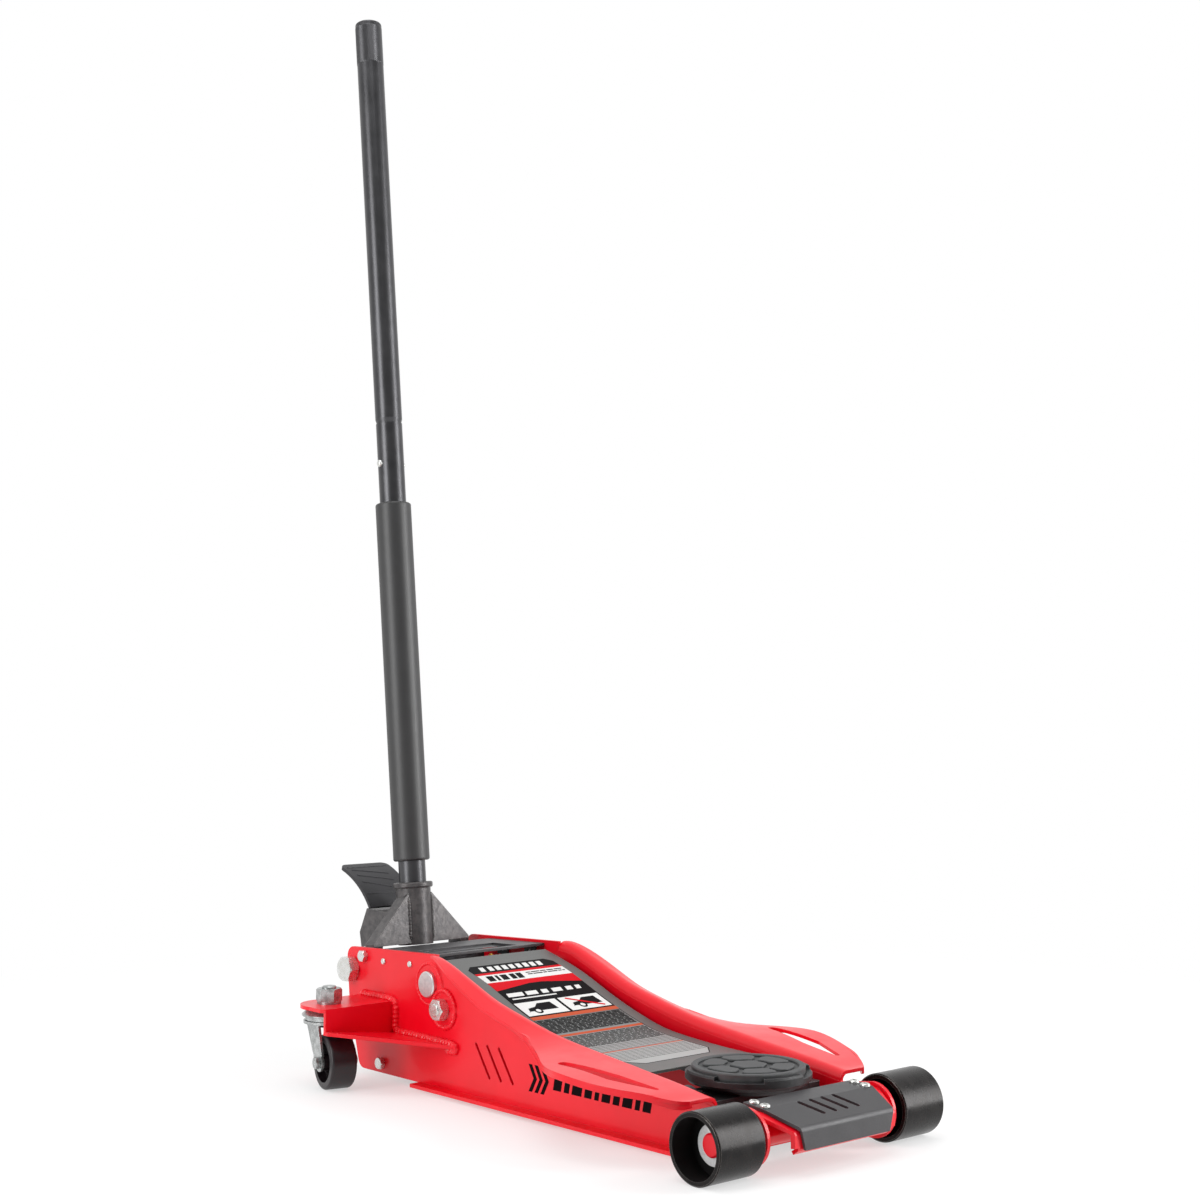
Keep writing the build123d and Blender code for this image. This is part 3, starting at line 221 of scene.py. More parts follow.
def yoke_coat():
    """Thin gunmetal paint on hot-rolled plate: scratches, pits and blotches show through."""
    g = Graph("yoke_gunmetal")
    soft = g.rounded(0.8 * MM)
    edge = g.edges(soft)
    blotch = g.noise(7 * MM, 5.0, 0.6)
    base = g.mix(g.scale(blotch, 0.38, 0.62), display(68, 66, 67), display(88, 85, 85))
    pits = g.scale(g.cells(6.5 * MM), 0.03, 0.12)
    base = g.mix(g.math("MULTIPLY", g.math("SUBTRACT", 1.0, pits), 0.4), base, display(44, 43, 44))
    streak = g.noise(1.6 * MM, 3.0, 0.6, (1.0, 1.0, 0.3))
    base = g.mix(g.scale(streak, 0.6, 0.78, 0.0, 0.3), base, display(128, 124, 122))
    colour = g.mix(g.math("MULTIPLY", edge, 0.5), base, display(158, 155, 152))
    relief = g.bump(blotch, 0.25 * MM, soft, 0.25)
    relief = g.bump(pits, 0.2 * MM, relief, 0.4)
    rough = g.scale(streak, 0.35, 0.7, 0.34, 0.5)
    return g.finish(Base_Color=colour, Roughness=rough, Metallic=0.45, Normal=relief)


def plated(name, tone=display(214, 214, 210), tint=display(190, 186, 170), roughness=(0.2, 0.36)):
    """Bright zinc plating with a faint tint and fine spangle."""
    g = Graph(name)
    soft = g.rounded(0.5 * MM)
    cloud = g.noise(6 * MM, 4.0)
    colour = g.mix(g.scale(cloud, 0.35, 0.65), tone, tint)
    spangle = g.noise(1.6 * MM, 3.0)
    relief = g.bump(spangle, 0.03 * MM, soft, 0.4)
    rough = g.scale(spangle, 0.3, 0.7, *roughness)
    return g.finish(Base_Color=colour, Roughness=rough, Metallic=0.85, Normal=relief)


def turned_steel(name, axis, tone=display(196, 196, 194), metal=1.0):
    """Turned steel: fine rings round an axis along Y."""
    g = Graph(name)
    soft = g.rounded(0.4 * MM)
    radius = g.radius_from(0, 2, axis)
    rings = g.math("SINE", g.math("MULTIPLY", radius, 2 * pi / (0.7 * MM)))
    cloud = g.noise(5 * MM, 4.0)
    colour = g.mix(g.scale(cloud, 0.4, 0.8, 0.0, 0.5), tone, display(150, 150, 152))
    relief = g.bump(rings, 0.02 * MM, soft, 0.6)
    rough = g.scale(cloud, 0.3, 0.7, 0.28, 0.42)
    return g.finish(Base_Color=colour, Roughness=rough, Metallic=metal, Normal=relief)


def roller_black():
    """Blackened steel rollers: turning marks on the rim, a painted highlight on the edges and a warm sheen.
    """
    g = Graph("roller_black_steel")
    soft = g.rounded(0.9 * MM)
    edge = g.edges(soft)
    across = g.split(1)
    marks = g.node("TexNoise", {"Vector": g.node("CombineXYZ", {1: across}), "Scale": 1 / (1.2 * MM),
                                "Detail": 3.0, "Roughness": 0.6})
    cloud = g.noise(14 * MM, 5.0, 0.6)
    base = g.mix(g.scale(cloud, 0.35, 0.65), display(13, 11, 11), display(26, 23, 22))
    base = g.mix(g.scale(marks, 0.55, 0.75, 0.0, 0.3), base, display(78, 72, 70))
    spots = g.scale(g.cells(7 * MM), 0.0, 0.05, 0.5, 0.0)
    base = g.mix(spots, base, display(120, 112, 104))
    # Painted highlight: sharp edges are mixed towards a light grey.
    colour = g.mix(g.math("MULTIPLY", edge, 0.55), base, display(140, 134, 130))
    inside = g.scale(g.radius_from(0, 2, AXLE), 28.4 * MM, 28.0 * MM)
    colour = g.mix(inside, colour, display(12, 10, 10))
    relief = g.bump(marks, 0.05 * MM, soft, 0.55)
    rough = g.math("ADD", g.scale(cloud, 0.3, 0.7, 0.22, 0.32), g.math("MULTIPLY", inside, 0.45))
    return g.finish(
        Base_Color=colour, Roughness=rough, Metallic=0.5, Normal=relief, Specular_IOR_Level=0.32
    )


def rough_cast(name, dark, light, roughness=(0.4, 0.58), lump=1.6 * MM, metal=0.2):
    """Painted sand casting: lumpy skin with small pits, and a painted highlight on its edges."""
    g = Graph(name)
    soft = g.rounded(1.0 * MM)
    edge = g.edges(soft)
    skin = g.noise(lump, 5.0, 0.6)
    base = g.mix(g.scale(g.noise(12 * MM, 4.0), 0.35, 0.65), dark, light)
    # Painted highlight: sharp edges are mixed towards a pale grey.
    colour = g.mix(g.math("MULTIPLY", edge, 0.55), base, display(112, 112, 114))
    relief = g.bump(skin, 0.5 * MM, soft, 0.45)
    rough = g.scale(skin, 0.3, 0.7, *roughness)
    return g.finish(Base_Color=colour, Roughness=rough, Metallic=metal, Normal=relief)


def soft_rubber(name, dark, light, roughness=(0.55, 0.7), grain=0.7 * MM, depth=0.08 * MM):
    """Moulded rubber or plastic with a fine skin, painted shade in its hollows and a painted highlight on
    its edges.
    """
    g = Graph(name)
    soft = g.rounded(0.6 * MM)
    cloud = g.noise(14 * MM, 4.0)
    base = g.mix(g.scale(cloud, 0.35, 0.65), dark, light)
    # Painted shade: hollows found by ambient occlusion are darkened towards near-black.
    shade_in_hollows = g.node("AmbientOcclusion", {"Distance": 3.0 * MM}, output=1, samples=6)
    deep = g.math("MULTIPLY", g.scale(shade_in_hollows, 0.9, 0.45), 0.75)
    base = g.mix(deep, base, display(6, 6, 7))
    # Painted highlight: sharp edges are mixed towards a paler tone.
    colour = g.mix(g.math("MULTIPLY", g.edges(soft), 0.5), base, paler(light, 3.0))
    relief = g.bump(g.noise(grain, 3.0), depth, soft, 0.6)
    rough = g.scale(cloud, 0.3, 0.7, *roughness)
    return g.finish(Base_Color=colour, Roughness=rough, Normal=relief)


def foam():
    """Closed-cell foam sleeve: matte, with fine open pores."""
    g = Graph("handle_foam")
    cells = g.cells(0.9 * MM)
    pores = g.scale(cells, 0.1, 0.6)
    cloud = g.noise(20 * MM, 3.0)
    base = g.mix(g.scale(cloud, 0.35, 0.65), display(26, 26, 27), display(33, 33, 34))
    colour = g.mix(g.math("MULTIPLY", pores, 0.35), base, display(17, 17, 18))
    relief = g.bump(g.noise(0.8 * MM, 4.0, 0.7), 0.12 * MM, None, 0.4)
    return g.finish(Base_Color=colour, Roughness=0.46, Normal=relief, Specular_IOR_Level=0.8)


def handle_coat():
    """Semi-gloss grey-black coat on the handle tubes, with faint long draw lines."""
    g = Graph("handle_coat")
    soft = g.rounded(0.5 * MM)
    lines = g.noise(1.5 * MM, 3.0, 0.5, (1.0, 1.0, 0.01))
    cloud = g.noise(25 * MM, 4.0)
    colour = g.mix(g.scale(cloud, 0.3, 0.7), display(76, 76, 78), display(84, 84, 86))
    relief = g.bump(lines, 0.02 * MM, soft, 0.3)
    rough = g.scale(cloud, 0.3, 0.7, 0.31, 0.36)
    return g.finish(Base_Color=colour, Roughness=rough, Metallic=0.95, Normal=relief)


def brass():
    g = Graph("brass")
    cloud = g.noise(2 * MM, 4.0)
    colour = g.mix(g.scale(cloud, 0.35, 0.65), display(222, 176, 84), display(196, 146, 62))
    relief = g.bump(g.noise(0.4 * MM, 2.0), 0.03 * MM, g.rounded(0.3 * MM), 0.5)
    return g.finish(Base_Color=colour, Roughness=0.28, Metallic=1.0, Normal=relief)


def print_ink(name, colour, shade, roughness=0.45):
    """Printed film: flat ink with a very fine print grain."""
    g = Graph(name)
    grain = g.noise(0.25 * MM, 2.0)
    tone = g.mix(g.scale(grain, 0.35, 0.65), colour, shade)
    relief = g.bump(g.noise(4 * MM, 2.0), 0.02 * MM, None, 0.4)
    return g.finish(Base_Color=tone, Roughness=roughness, Normal=relief, Specular_IOR_Level=0.03)


def fading_silver():
    """Silver film that is dark under the small print and paler towards the saddle."""
    g = Graph("label_silver")
    ahead = g.scale(g.split(0), AXLE.x - 345.0 * MM, AXLE.x - 225.0 * MM)
    tone = g.mix(ahead, display(78, 80, 79), display(158, 160, 159))
    grain = g.scale(g.noise(0.25 * MM, 2.0), 0.35, 0.65, 0.0, 0.1)
    colour = g.mix(grain, tone, display(176, 178, 176))
    relief = g.bump(g.noise(4 * MM, 2.0), 0.02 * MM, None, 0.4)
    return g.finish(Base_Color=colour, Roughness=0.42, Normal=relief, Specular_IOR_Level=0.2)


RED = gloss_red()
DARK = satin_coat("dark_powder_coat", display(52, 51, 53), display(64, 63, 65), metal=0.2)
COVER_GREY = satin_coat("arm_cover_grey", display(86, 87, 86), display(99, 100, 98), metal=0.25)
YOKE = yoke_coat()
ZINC = plated("zinc_plate", display(224, 225, 224), display(206, 206, 201))
CASTER_ZINC = plated("dull_zinc_plate", display(186, 188, 188), display(142, 145, 144), (0.24, 0.36))
SHAFT_STEEL = turned_steel("turned_shaft_steel", SHAFT, display(222, 222, 222))
AXLE_STEEL = turned_steel("turned_washer_steel", AXLE, display(236, 236, 236), 0.35)
CAST = rough_cast("grey_casting", display(60, 62, 64), display(86, 88, 90), metal=0.5)
SADDLE_CAST = rough_cast("black_casting", display(19, 19, 21), display(32, 32, 34))
ROLLER = roller_black()
FOAM = foam()
HANDLE = handle_coat()
BRASS = brass()
PAD = soft_rubber("saddle_pad_rubber", display(52, 53, 54), display(70, 71, 72))
TREAD = soft_rubber("pedal_tread", display(25, 24, 28), display(35, 34, 38), (0.42, 0.55))
WHEEL = soft_rubber("caster_tyre", display(16, 9, 13), display(27, 15, 20), (0.32, 0.44), 1.2 * MM)
SEAL = soft_rubber("seal_rubber", display(20, 20, 22), display(30, 30, 32))
INK_BLACK = print_ink("label_black", display(9, 8, 10), display(15, 14, 16))
INK_RED = print_ink("label_red", display(190, 8, 24), display(204, 14, 30))
INK_WHITE = print_ink("label_white", display(222, 222, 220), display(206, 206, 205))
INK_ORANGE = print_ink("label_orange", display(176, 74, 48), display(190, 88, 58))
INK_SILVER = fading_silver()
SIDE_INK = print_ink("side_decal_black", display(10, 6, 8), display(16, 10, 12))

COATS = {
    "side_plate_left": RED,
    "side_plate_right": RED,
    "caster_bracket_left": RED,
    "caster_bracket_right": RED,
    "front_cross_member": RED,
    "front_axle": RED,
    "front_cover": DARK,
    "front_cover_screws": ZINC,
    "rear_cover": DARK,
    "rear_cover_rivets": ZINC,
    "yoke_pivot_bolts": ZINC,
    "small_frame_bolts": ZINC,
    "tie_tube": RED,
    "link_studs": ZINC,
    "link_nuts": ZINC,
    "axle_washers": AXLE_STEEL,
    "main_shaft": SHAFT_STEEL,
    "shaft_spacers": ZINC,
    "front_roller_left": ROLLER,
    "front_roller_right": ROLLER,
    "lift_arm": DARK,
    "lift_arm_cover": COVER_GREY,
    "grease_nipple": BRASS,
    "crank_pin": SHAFT_STEEL,
    "link_rods": DARK,
    "saddle_bracket": SADDLE_CAST,
    "saddle_bracket_pins": ZINC,
    "saddle_cup": SADDLE_CAST,
    "saddle_pad": PAD,
    "saddle_retaining_ring": ZINC,
    "valve_block": CAST,
    "cylinder_tube": CAST,
    "gland_nut": ZINC,
    "ram": SHAFT_STEEL,
    "piston_seal": SEAL,
    "ram_head": CAST,
    "pump_plunger": SHAFT_STEEL,
    "plunger_spring": ZINC,
    "release_valve": ZINC,
    "yoke_frame": YOKE,
    "handle_socket": YOKE,
    "pump_roller": ZINC,
    "pump_roller_pin": ZINC,
    "pedal_bracket": YOKE,
    "foot_pedal": TREAD,
    "handle_lower_tube": HANDLE,
    "handle_foam_sleeve": FOAM,
    "handle_upper_tube": HANDLE,
    "handle_end_cap": HANDLE,
    "snap_button_left": ZINC,
    "snap_button_right": ZINC,
    "caster_fork_left": CASTER_ZINC,
    "caster_fork_right": CASTER_ZINC,
    "caster_axle_left": CASTER_ZINC,
    "caster_axle_right": CASTER_ZINC,
    "caster_wheel_left": WHEEL,
    "caster_wheel_right": WHEEL,
    "caster_kingpins": CASTER_ZINC,
    "caster_nuts": CASTER_ZINC,
    "caster_race_cups": CASTER_ZINC,
}


def coat_nodes():
    """Gives every CAD node its material."""
    for name, node in NODES.items():
        node.data.materials.clear()
        node.data.materials.append(COATS[name])


# ---------------------------------------------------------------- thin sheets and beads


def add_piece(name, corners, faces, material, body):
    """A finished mesh piece that rides on a CAD body."""
    mesh = bpy.data.meshes.new(name)
    mesh.from_pydata([tuple(corner) for corner in corners], [], faces)
    mesh.materials.append(material)
    piece = bpy.data.objects.new(name, mesh)
    bpy.context.scene.collection.objects.link(piece)
    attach(piece, body)


def sheet(name, shapes, low, high, material, body, place, step=4.0):
    """Thin solids cut from flat outlines in millimetres; place(u, v, lift) lays a point on its surface."""
    flat = bmesh.new()
    for shape in shapes:
        flat.faces.new([flat.verts.new((u, v, 0.0)) for u, v in shape])
    first = min(vert.co.x for vert in flat.verts)
    last = max(vert.co.x for vert in flat.verts)
    for index in range(ceil(first / step), ceil(last / step)):
        everything = flat.verts[:] + flat.edges[:] + flat.faces[:]
        cut = (index * step, 0, 0)
        bmesh.ops.bisect_plane(flat, geom=everything, plane_co=cut, plane_no=(1, 0, 0))
    flat.verts.index_update()
    count = len(flat.verts)
    corners = [place(vert.co.x, vert.co.y, low) for vert in flat.verts]
    corners += [place(vert.co.x, vert.co.y, high) for vert in flat.verts]
    faces = []
    for face in flat.faces:
        ring = [vert.index for vert in face.verts]
        faces.append([index + count for index in ring])
        faces.append(ring[::-1])
        for loop in face.loops:
            if len(loop.edge.link_faces) == 1:
                a, b = loop.vert.index, loop.link_loop_next.vert.index
                faces.append([a, b, b + count, a + count])
    flat.free()
    add_piece(name, corners, faces, material, body)


def bead(name, path, radius, material, body, lump=5.0 * MM):
    """A weld bead along a path: a lumpy round bar, half sunk in the corner it fills."""
    spacing = 1.2 * MM
    points = []
    for start, end in zip(path, path[1:]):
        pieces = max(1, ceil((end - start).length / spacing))
        points += [start.lerp(end, index / pieces) for index in range(pieces)]
    points.append(path[-1])
    sides = 12
    corners, faces = [], []
    for index, point in enumerate(points):
        ahead = points[min(index + 2, len(points) - 1)] - points[max(index - 2, 0)]
        out = ahead.cross(Vector((0.0, 1.0, 0.0))).normalized()
        over = out.cross(ahead).normalized()
        along = index * spacing
        end_ease = min(1.0, 0.45 + 0.15 * min(index, len(points) - 1 - index))
        wave = 0.09 * sin(2 * pi * along / lump) + 0.03 * sin(2 * pi * along / 1.7 / lump)
        size = radius * end_ease * (1.0 + wave)
        for side in range(sides):
            turn = 2 * pi * side / sides
            corners.append(point + out * (size * cos(turn)) + over * (size * sin(turn)))
    for index in range(len(points) - 1):
        for side in range(sides):
            a, b = index * sides + side, index * sides + (side + 1) % sides
            faces.append([a, b, b + sides, a + sides])
    faces.append(list(range(sides))[::-1])
    faces.append([len(corners) - sides + side for side in range(sides)])
    add_piece(name, corners, faces, material, body)


def top_of(node):
    """A function that lays a point on a node's upper surface: X from the front axle, Y and lift in mm."""
    mesh = NODES[node].data
    corners = [vert.co.copy() for vert in mesh.vertices]
    tree = BVHTree.FromPolygons(corners, [list(face.vertices) for face in mesh.polygons])

    def place(u, v, lift):
        x, y = AXLE.x + u * MM, v * MM
        hit = tree.ray_cast(Vector((x, y, 1.0)), Vector((0.0, 0.0, -1.0)))[0]
        return Vector((x, y, hit.z + lift * MM))

    return place


def on_plate(side):
    """Lays a point on the outer face of a side plate: X from the front axle, height and lift in mm."""

    def place(u, v, lift):
        return Vector((AXLE.x + u * MM, side * (PLATE_FACE + lift * MM), v * MM))

    return place


def slanted(u_low, u_high, v_low, v_high, slant):
    """A bar whose ends lean by slant."""
    return [(u_low, v_low), (u_low, v_high), (u_high, v_high - slant), (u_high, v_low - slant)]


def bar(u_low, u_high, v_low, v_high):
    return [(u_low, v_low), (u_low, v_high), (u_high, v_high), (u_high, v_low)]


# ---------------------------------------------------------------- label on the arm cover


def text_lines(u_low, u_high, pitch, thick, reach, seed):
    """Rows of short dashes that stand for small print."""
    rows = []
    count = int((u_high - u_low) / pitch)
    for row in range(count):
        u = u_low + row * pitch
        v = -reach
        index = 0
        while v < reach - 3.0:
            width = 5.0 + 4.5 * sin(seed + 2.3 * row + 1.7 * index) ** 2 * 2
            end = min(reach - 2.0 * sin(row + seed) ** 2, v + width)
            rows.append(bar(u, u + thick, v, end))
            v = end + 1.3
            index += 1
    return rows


def round_shape(u, v, radius, sides=20):
    turns = [2 * pi * step / sides for step in range(sides)]
    return [(u + radius * cos(turn), v + radius * sin(turn)) for turn in turns]


def picture(u, v):
    """A simple side view of a vehicle with a wheel, standing on a line."""
    side = [(-4, -20), (-12, -17), (-14, -6), (-20, 1), (-20, 19), (-6, 21), (-6, -20)]
    body = [(u + along, v + across) for along, across in side]
    tyre = round_shape(u - 6.0, v - 7.5, 5.5)
    hub = round_shape(u - 6.0, v - 7.5, 3.0)
    return [body, tyre], [hub]


def label_layer(name, shapes, level, ink):
    """One printed layer; each level lies a little above the one before."""
    low = LAYER_STEP * level if level else -LAYER_STEP
    place = top_of("lift_arm_cover")
    sheet("label_" + name, shapes, low, LAYER_STEP * level + FILM, ink, "lift_arm", place)


def band(u_low, u_high):
    """A bar over the label's full width."""
    return bar(u_low, u_high, -LABEL_HALF, LABEL_HALF)


def label_ground():
    """Silver ground with cut corners, and the rules along its edges."""
    half = LABEL_HALF
    rear, front = LABEL_REAR, LABEL_FRONT
    rear_cut, front_cut = LABEL_REAR_CORNER, LABEL_FRONT_CORNER
    side_end = half - 16.0
    outline = [(rear, rear_cut - half), (rear + rear_cut, -half)]
    outline += [(front - front_cut, -half), (front, -side_end)]
    outline += [(u, -v) for u, v in reversed(outline)]
    label_layer("ground", [outline], 0, INK_SILVER)
    rules = []
    for step in range(14):
        u = -258.0 + 4.4 * step
        if not -240.0 < u < -234.0:
            rules.append(bar(u, u + 0.7, 3.0 - half, half - 3.0))
    rules.append(bar(-338.0, front - front_cut, -half, 0.9 - half))
    rules.append(bar(-338.0, front - front_cut, half - 0.9, half))
    rules.append(bar(front - 0.9, front, -side_end, side_end))
    for side in (-1, 1):
        slope = [
            (front - front_cut, side * half),
            (front, side * side_end),
            (front - 1.3, side * side_end),
            (front - front_cut - 1.2, side * (half - 0.6)),
        ]
        rules.append(slope if side > 0 else slope[::-1])
    label_layer("fine_lines", rules, 1, INK_BLACK)


def label_bands():
    """Black header, red and white bands, black field with a pointed edge, and three orange bands."""
    half = LABEL_HALF
    rear, rear_cut = LABEL_REAR, LABEL_REAR_CORNER
    header = [(rear, rear_cut - half), (rear + rear_cut, -half), (HEADER_END, -half)]
    header += [(u, -v) for u, v in reversed(header)]
    point = [(CHEVRON_SIDE, -half), (CHEVRON_TIP, -9.0), (CHEVRON_TIP, 9.0), (CHEVRON_SIDE, half)]
    field = point + [(PICTURES_END, half), (PICTURES_END, -half)]
    label_layer("black_bands", [header, field], 1, INK_BLACK)
    white_start, white_end = WHITE_BAND
    red_field = [(white_end, -half)] + point + [(white_end, half)]
    label_layer("red_bands", [band(HEADER_END, white_start), red_field], 1, INK_RED)
    label_layer("white_band", [band(white_start, white_end)], 1, INK_WHITE)
    orange = [band(PICTURES_END, -338.5), band(-302.0, -297.5), band(-238.0, -235.5)]
    label_layer("orange_bands", orange, 1, INK_ORANGE)


def label_bars():
    """Slanted bars and blocks that stand for the large print."""
    light = []
    for v in (-45.0, -33.0, -23.0, -13.0, -3.0, 7.0, 17.0, 27.0, 37.0):
        light.append(slanted(-455.5, -445.0, v, v + 6.5, 2.5))
    for v, width in ((-54, 22), (-28, 16), (-6, 9), (9, 14), (29, 9), (43, 7)):
        light.append(slanted(-394.0, -387.0, v, v + width, 1.5))
    light.append(bar(-383.5, -381.5, -54.0, 8.0))
    label_layer("light_bars", light, 2, INK_WHITE)
    dark = []
    for v, width in ((-52, 9), (-40, 4), (-33, 9), (-20, 7), (-11, 8)):
        dark.append(slanted(-433.0, -421.0, v, v + width, 2.0))
    for dash in text_lines(-432.5, -420.0, 4.2, 2.0, 28.0, 0.4):
        dark.append([(u, v + 32.0) for u, v in dash])
    label_layer("dark_blocks", dark, 2, INK_BLACK)


def label_pictures():
    """Two small vehicle pictures, the second one crossed out."""
    grounds = [bar(-374.5, -347.5, -59.0, -2.0), bar(-374.5, -347.5, 2.0, 59.0)]
    label_layer("picture_grounds", grounds, 2, INK_WHITE)
    dark, light = [], []
    for v in (-32.0, 31.0):
        shapes, hubs = picture(-350.0, v)
        dark += shapes
        light += hubs
    label_layer("pictures", dark, 3, INK_BLACK)
    label_layer("picture_wheels", light, 4, INK_WHITE)
    cross = [(-373.0, 12.0), (-371.0, 10.0), (-349.0, 50.0), (-351.0, 52.0)]
    label_layer("picture_cross", [cross], 5, INK_RED)


def label_small_print():
    rows = text_lines(-336.5, -303.5, 2.6, 1.9, LABEL_HALF - 2, 0.7)
    rows += text_lines(-295.5, -258.0, 2.9, 1.6, LABEL_HALF - 2, 1.9)
    label_layer("small_print", rows, 1, INK_BLACK)


def arm_label():
    """Printed label on the arm cover."""
    label_ground()
    label_bands()
    label_bars()
    label_pictures()
    label_small_print()


def side_decals():
    """Black mark and row of slanted blocks printed on each side plate."""
    for side, word in ((-1, "right"), (1, "left")):
        shapes = []
        arrow = [(0.0, 27.0), (5.5, 27.0), (13.5, 41.0), (5.5, 55.0), (0.0, 55.0), (8.0, 41.0)]
        for step in range(3):
            shapes.append([(ARROWS_START + ARROW_PITCH * step + u, v) for u, v in arrow])
        u = BLOCKS_START
        for width in BLOCK_WIDTHS:
            shapes.append([(u, 34.0), (u + width, 34.0), (u + width + 2.5, 45.5), (u + 2.5, 45.5)])
            u += width + BLOCK_GAP
        sheet("side_decal_" + word, shapes, -0.05, 0.12, SIDE_INK, "chassis", on_plate(side), 40.0)


def bracket_welds():
    """Weld beads where each caster bracket meets its side plate."""
    for side, word in ((-1, "right"), (1, "left")):
        place = on_plate(side)
        path = [place(u, z, 0.6) for u, z in (
            (-617.0, 92.5), (-556.0, 92.5), (-549.5, 90.0), (-547.0, 84.0), (-547.0, 62.0), (-543.0, 57.5),
            (-442.0, 57.0), (-435.0, 55.5), (-433.5, 52.5), (-437.0, 50.0), (-452.0, 50.0),
        )]
        bead("bracket_weld_" + word, path, 4.6 * MM, RED, "chassis")


def pivot_welds():
    """Ring beads round the main shaft and the link studs on both side plates."""
    for side, word in ((-1, "right"), (1, "left")):
        for name, centre, size, thick in (("shaft", SHAFT, 22.5, 1.8), ("stud", LINK_STUD, 20.0, 3.0)):
            path = []
            for step in range(49):
                turn = 2 * pi * step / 48
                y = side * (PLATE_FACE + 0.6 * MM)
                path.append(Vector((centre.x + size * MM * cos(turn), y, centre.z + size * MM * sin(turn))))
            bead(name + "_weld_" + word, path, thick * MM, RED, "chassis")


def yoke_welds():
    """Weld beads that hold the socket tube in the yoke plate."""
    for side, word in ((-1, "right"), (1, "left")):
        corner = HANDLE_FOOT + HANDLE_FRONT * (13.4 * MM) + Vector((0.0, side * 16.4 * MM, 0.0))
        path = [corner + HANDLE_WAY * ((7.0 + 3.6 * step) * MM) for step in range(15)]
        bead("yoke_weld_" + word, path, 1.9 * MM, YOKE, "handle_yoke", 4.0 * MM)


def knurled_grip():
    """Knurled sleeve round the top of the handle."""
    rows, columns = 40, 84
    low, high = HANDLE_LENGTH - 56.0 * MM, HANDLE_LENGTH - 5.0 * MM
    side_way = Vector((0.0, 1.0, 0.0))
    corners, faces = [], []
    for row in range(rows + 1):
        centre = HANDLE_FOOT + HANDLE_WAY * (low + (high - low) * row / rows)
        for column in range(columns):
            proud = 0.28 if (row + column) % 2 else 0.04
            if row in (0, rows):
                proud = -0.2
            size = HANDLE_RADIUS + proud * MM
            turn = 2 * pi * column / columns
            corners.append(centre + HANDLE_FRONT * (size * cos(turn)) + side_way * (size * sin(turn)))
    for row in range(rows):
        for column in range(columns):
            a, b = row * columns + column, row * columns + (column + 1) % columns
            faces.append([a, b, b + columns, a + columns])
    faces.append(list(range(columns))[::-1])
    faces.append([rows * columns + column for column in range(columns)])
    add_piece("knurled_grip", corners, faces, HANDLE, "handle")


def pedal_ribs():
    """Low slanted ribs moulded on the pedal's tread."""
    place = top_of("foot_pedal")
    ribs = [slanted(u, u + 1.5, -29.0, 29.0, 0.0) for u in (-741.0, -695.0)]
    for u in (-735.0, -723.0, -711.0):
        ribs.append([(u, -26.0), (u + 1.6, -26.0), (u + 13.6, 20.0), (u + 12.0, 20.0)])
    sheet("pedal_ribs", ribs, -0.3, 0.6, TREAD, "handle_yoke", place)


# ---------------------------------------------------------------- studio


def studio_world():
    """White seen directly; as light, bright behind the jack and dimmer behind the camera."""
    world = bpy.data.worlds.new("studio")
    bpy.context.scene.world = world
    world.use_nodes = True
    nodes, links = world.node_tree.nodes, world.node_tree.links
    back = nodes["Background"]
    way = nodes.new("ShaderNodeTexCoord").outputs["Generated"]
    toward = nodes.new("ShaderNodeVectorMath")
    toward.operation = "DOT_PRODUCT"
    toward.inputs[1].default_value = (cos(radians(-38.5)), sin(radians(-38.5)), -0.15)
    links.new(way, toward.inputs[0])
    level = nodes.new("ShaderNodeMapRange")
    level.interpolation_type = "SMOOTHSTEP"
    level.inputs["From Min"].default_value = -0.6
    level.inputs["From Max"].default_value = 0.85
    level.inputs["To Min"].default_value = 1.0
    level.inputs["To Max"].default_value = 0.25
    links.new(toward.outputs["Value"], level.inputs["Value"])
    ray = nodes.new("ShaderNodeLightPath").outputs["Is Camera Ray"]
    pick = nodes.new("ShaderNodeMix")
    links.new(ray, pick.inputs[0])
    links.new(level.outputs[0], pick.inputs[2])
    pick.inputs[3].default_value = 1.0
    links.new(pick.outputs[0], back.inputs["Strength"])
    back.inputs["Color"].default_value = (1.0, 1.0, 1.0, 1.0)


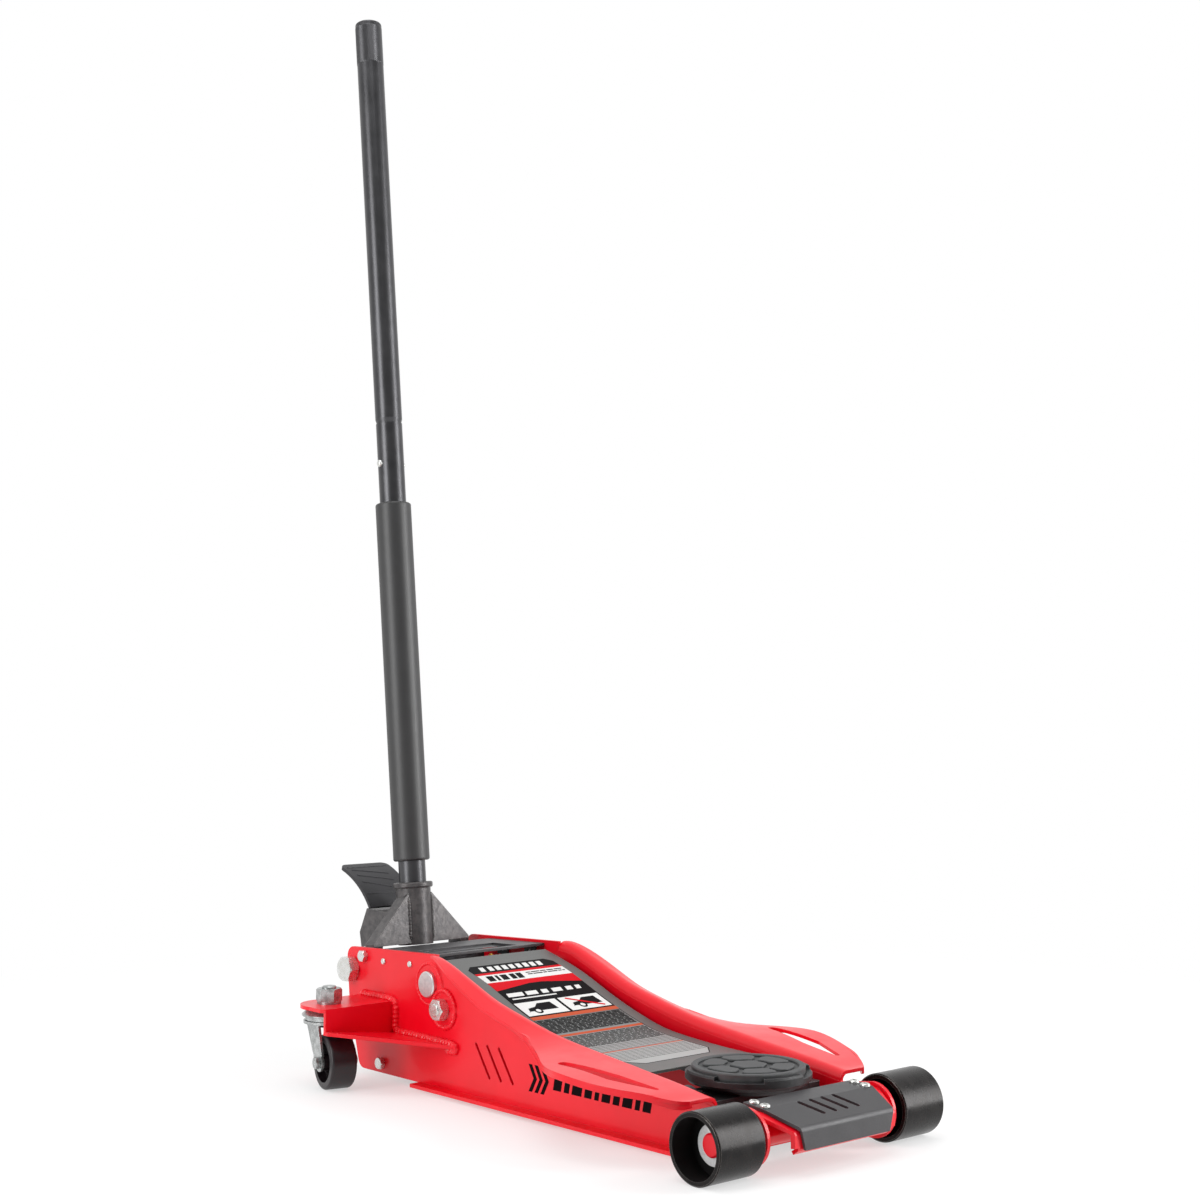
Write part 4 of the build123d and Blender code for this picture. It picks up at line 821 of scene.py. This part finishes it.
def softbox(name, bearing, distance, height, width, tall, power):
    """A soft area light round the jack, aimed at its middle."""
    data = bpy.data.lights.new(name, "AREA")
    data.shape = "RECTANGLE"
    data.size = width
    data.size_y = tall
    data.energy = power
    light = bpy.data.objects.new(name, data)
    bpy.context.scene.collection.objects.link(light)
    angle = radians(bearing)
    light.location = (distance * cos(angle), distance * sin(angle), height)
    aim = Vector((0.0, 0.0, 0.35)) - light.location
    light.rotation_euler = aim.to_track_quat("-Z", "Y").to_euler()


def pale_floor():
    """A pale floor that fades to white away from the jack."""
    mesh = bpy.data.meshes.new("floor")
    work = bmesh.new()
    bmesh.ops.create_circle(work, cap_ends=True, cap_tris=False, segments=64, radius=30.0)
    work.to_mesh(mesh)
    work.free()
    floor = bpy.data.objects.new("floor", mesh)
    bpy.context.scene.collection.objects.link(floor)
    g = Graph("pale_floor")
    away = g.node("VectorMath", {0: g.place}, output=1, operation="LENGTH")
    fade = g.scale(away, 0.1, 1.3, 0.45, 1.0)
    glow = g.node("Emission", {"Color": (1, 1, 1, 1), "Strength": 1.0})
    g.finish(Base_Color=(0.92, 0.92, 0.92, 1.0), Roughness=0.6, Specular_IOR_Level=0.2)
    mixed = g.nodes.new("ShaderNodeMixShader")
    g.put(mixed.inputs[0], fade)
    g.links.new(g.shader.outputs[0], mixed.inputs[1])
    g.links.new(glow, mixed.inputs[2])
    g.links.new(mixed.outputs[0], g.nodes["Material Output"].inputs["Surface"])
    mesh.materials.append(g.material)


def viewpoint():
    """Camera ahead and to the right of the jack, a little above it."""
    data = bpy.data.cameras.new("camera")
    data.lens = LENS
    data.sensor_width = SENSOR
    camera = bpy.data.objects.new("camera", data)
    bpy.context.scene.collection.objects.link(camera)
    camera.location = EYE
    camera.rotation_euler = EYE_TURN
    bpy.context.scene.camera = camera
    bpy.context.scene.view_settings.view_transform = "Standard"


coat_nodes()
arm_label()
side_decals()
bracket_welds()
pivot_welds()
yoke_welds()
knurled_grip()
pedal_ribs()
studio_world()
softbox("left_softbox", -96.0, 2.4, 1.0, 1.0, 2.0, 35.0)
softbox("right_softbox", 42.0, 2.3, 0.9, 0.7, 2.2, 52.0)
softbox("top_softbox", -60.0, 0.6, 2.6, 1.6, 1.6, 20.0)
pale_floor()
viewpoint()
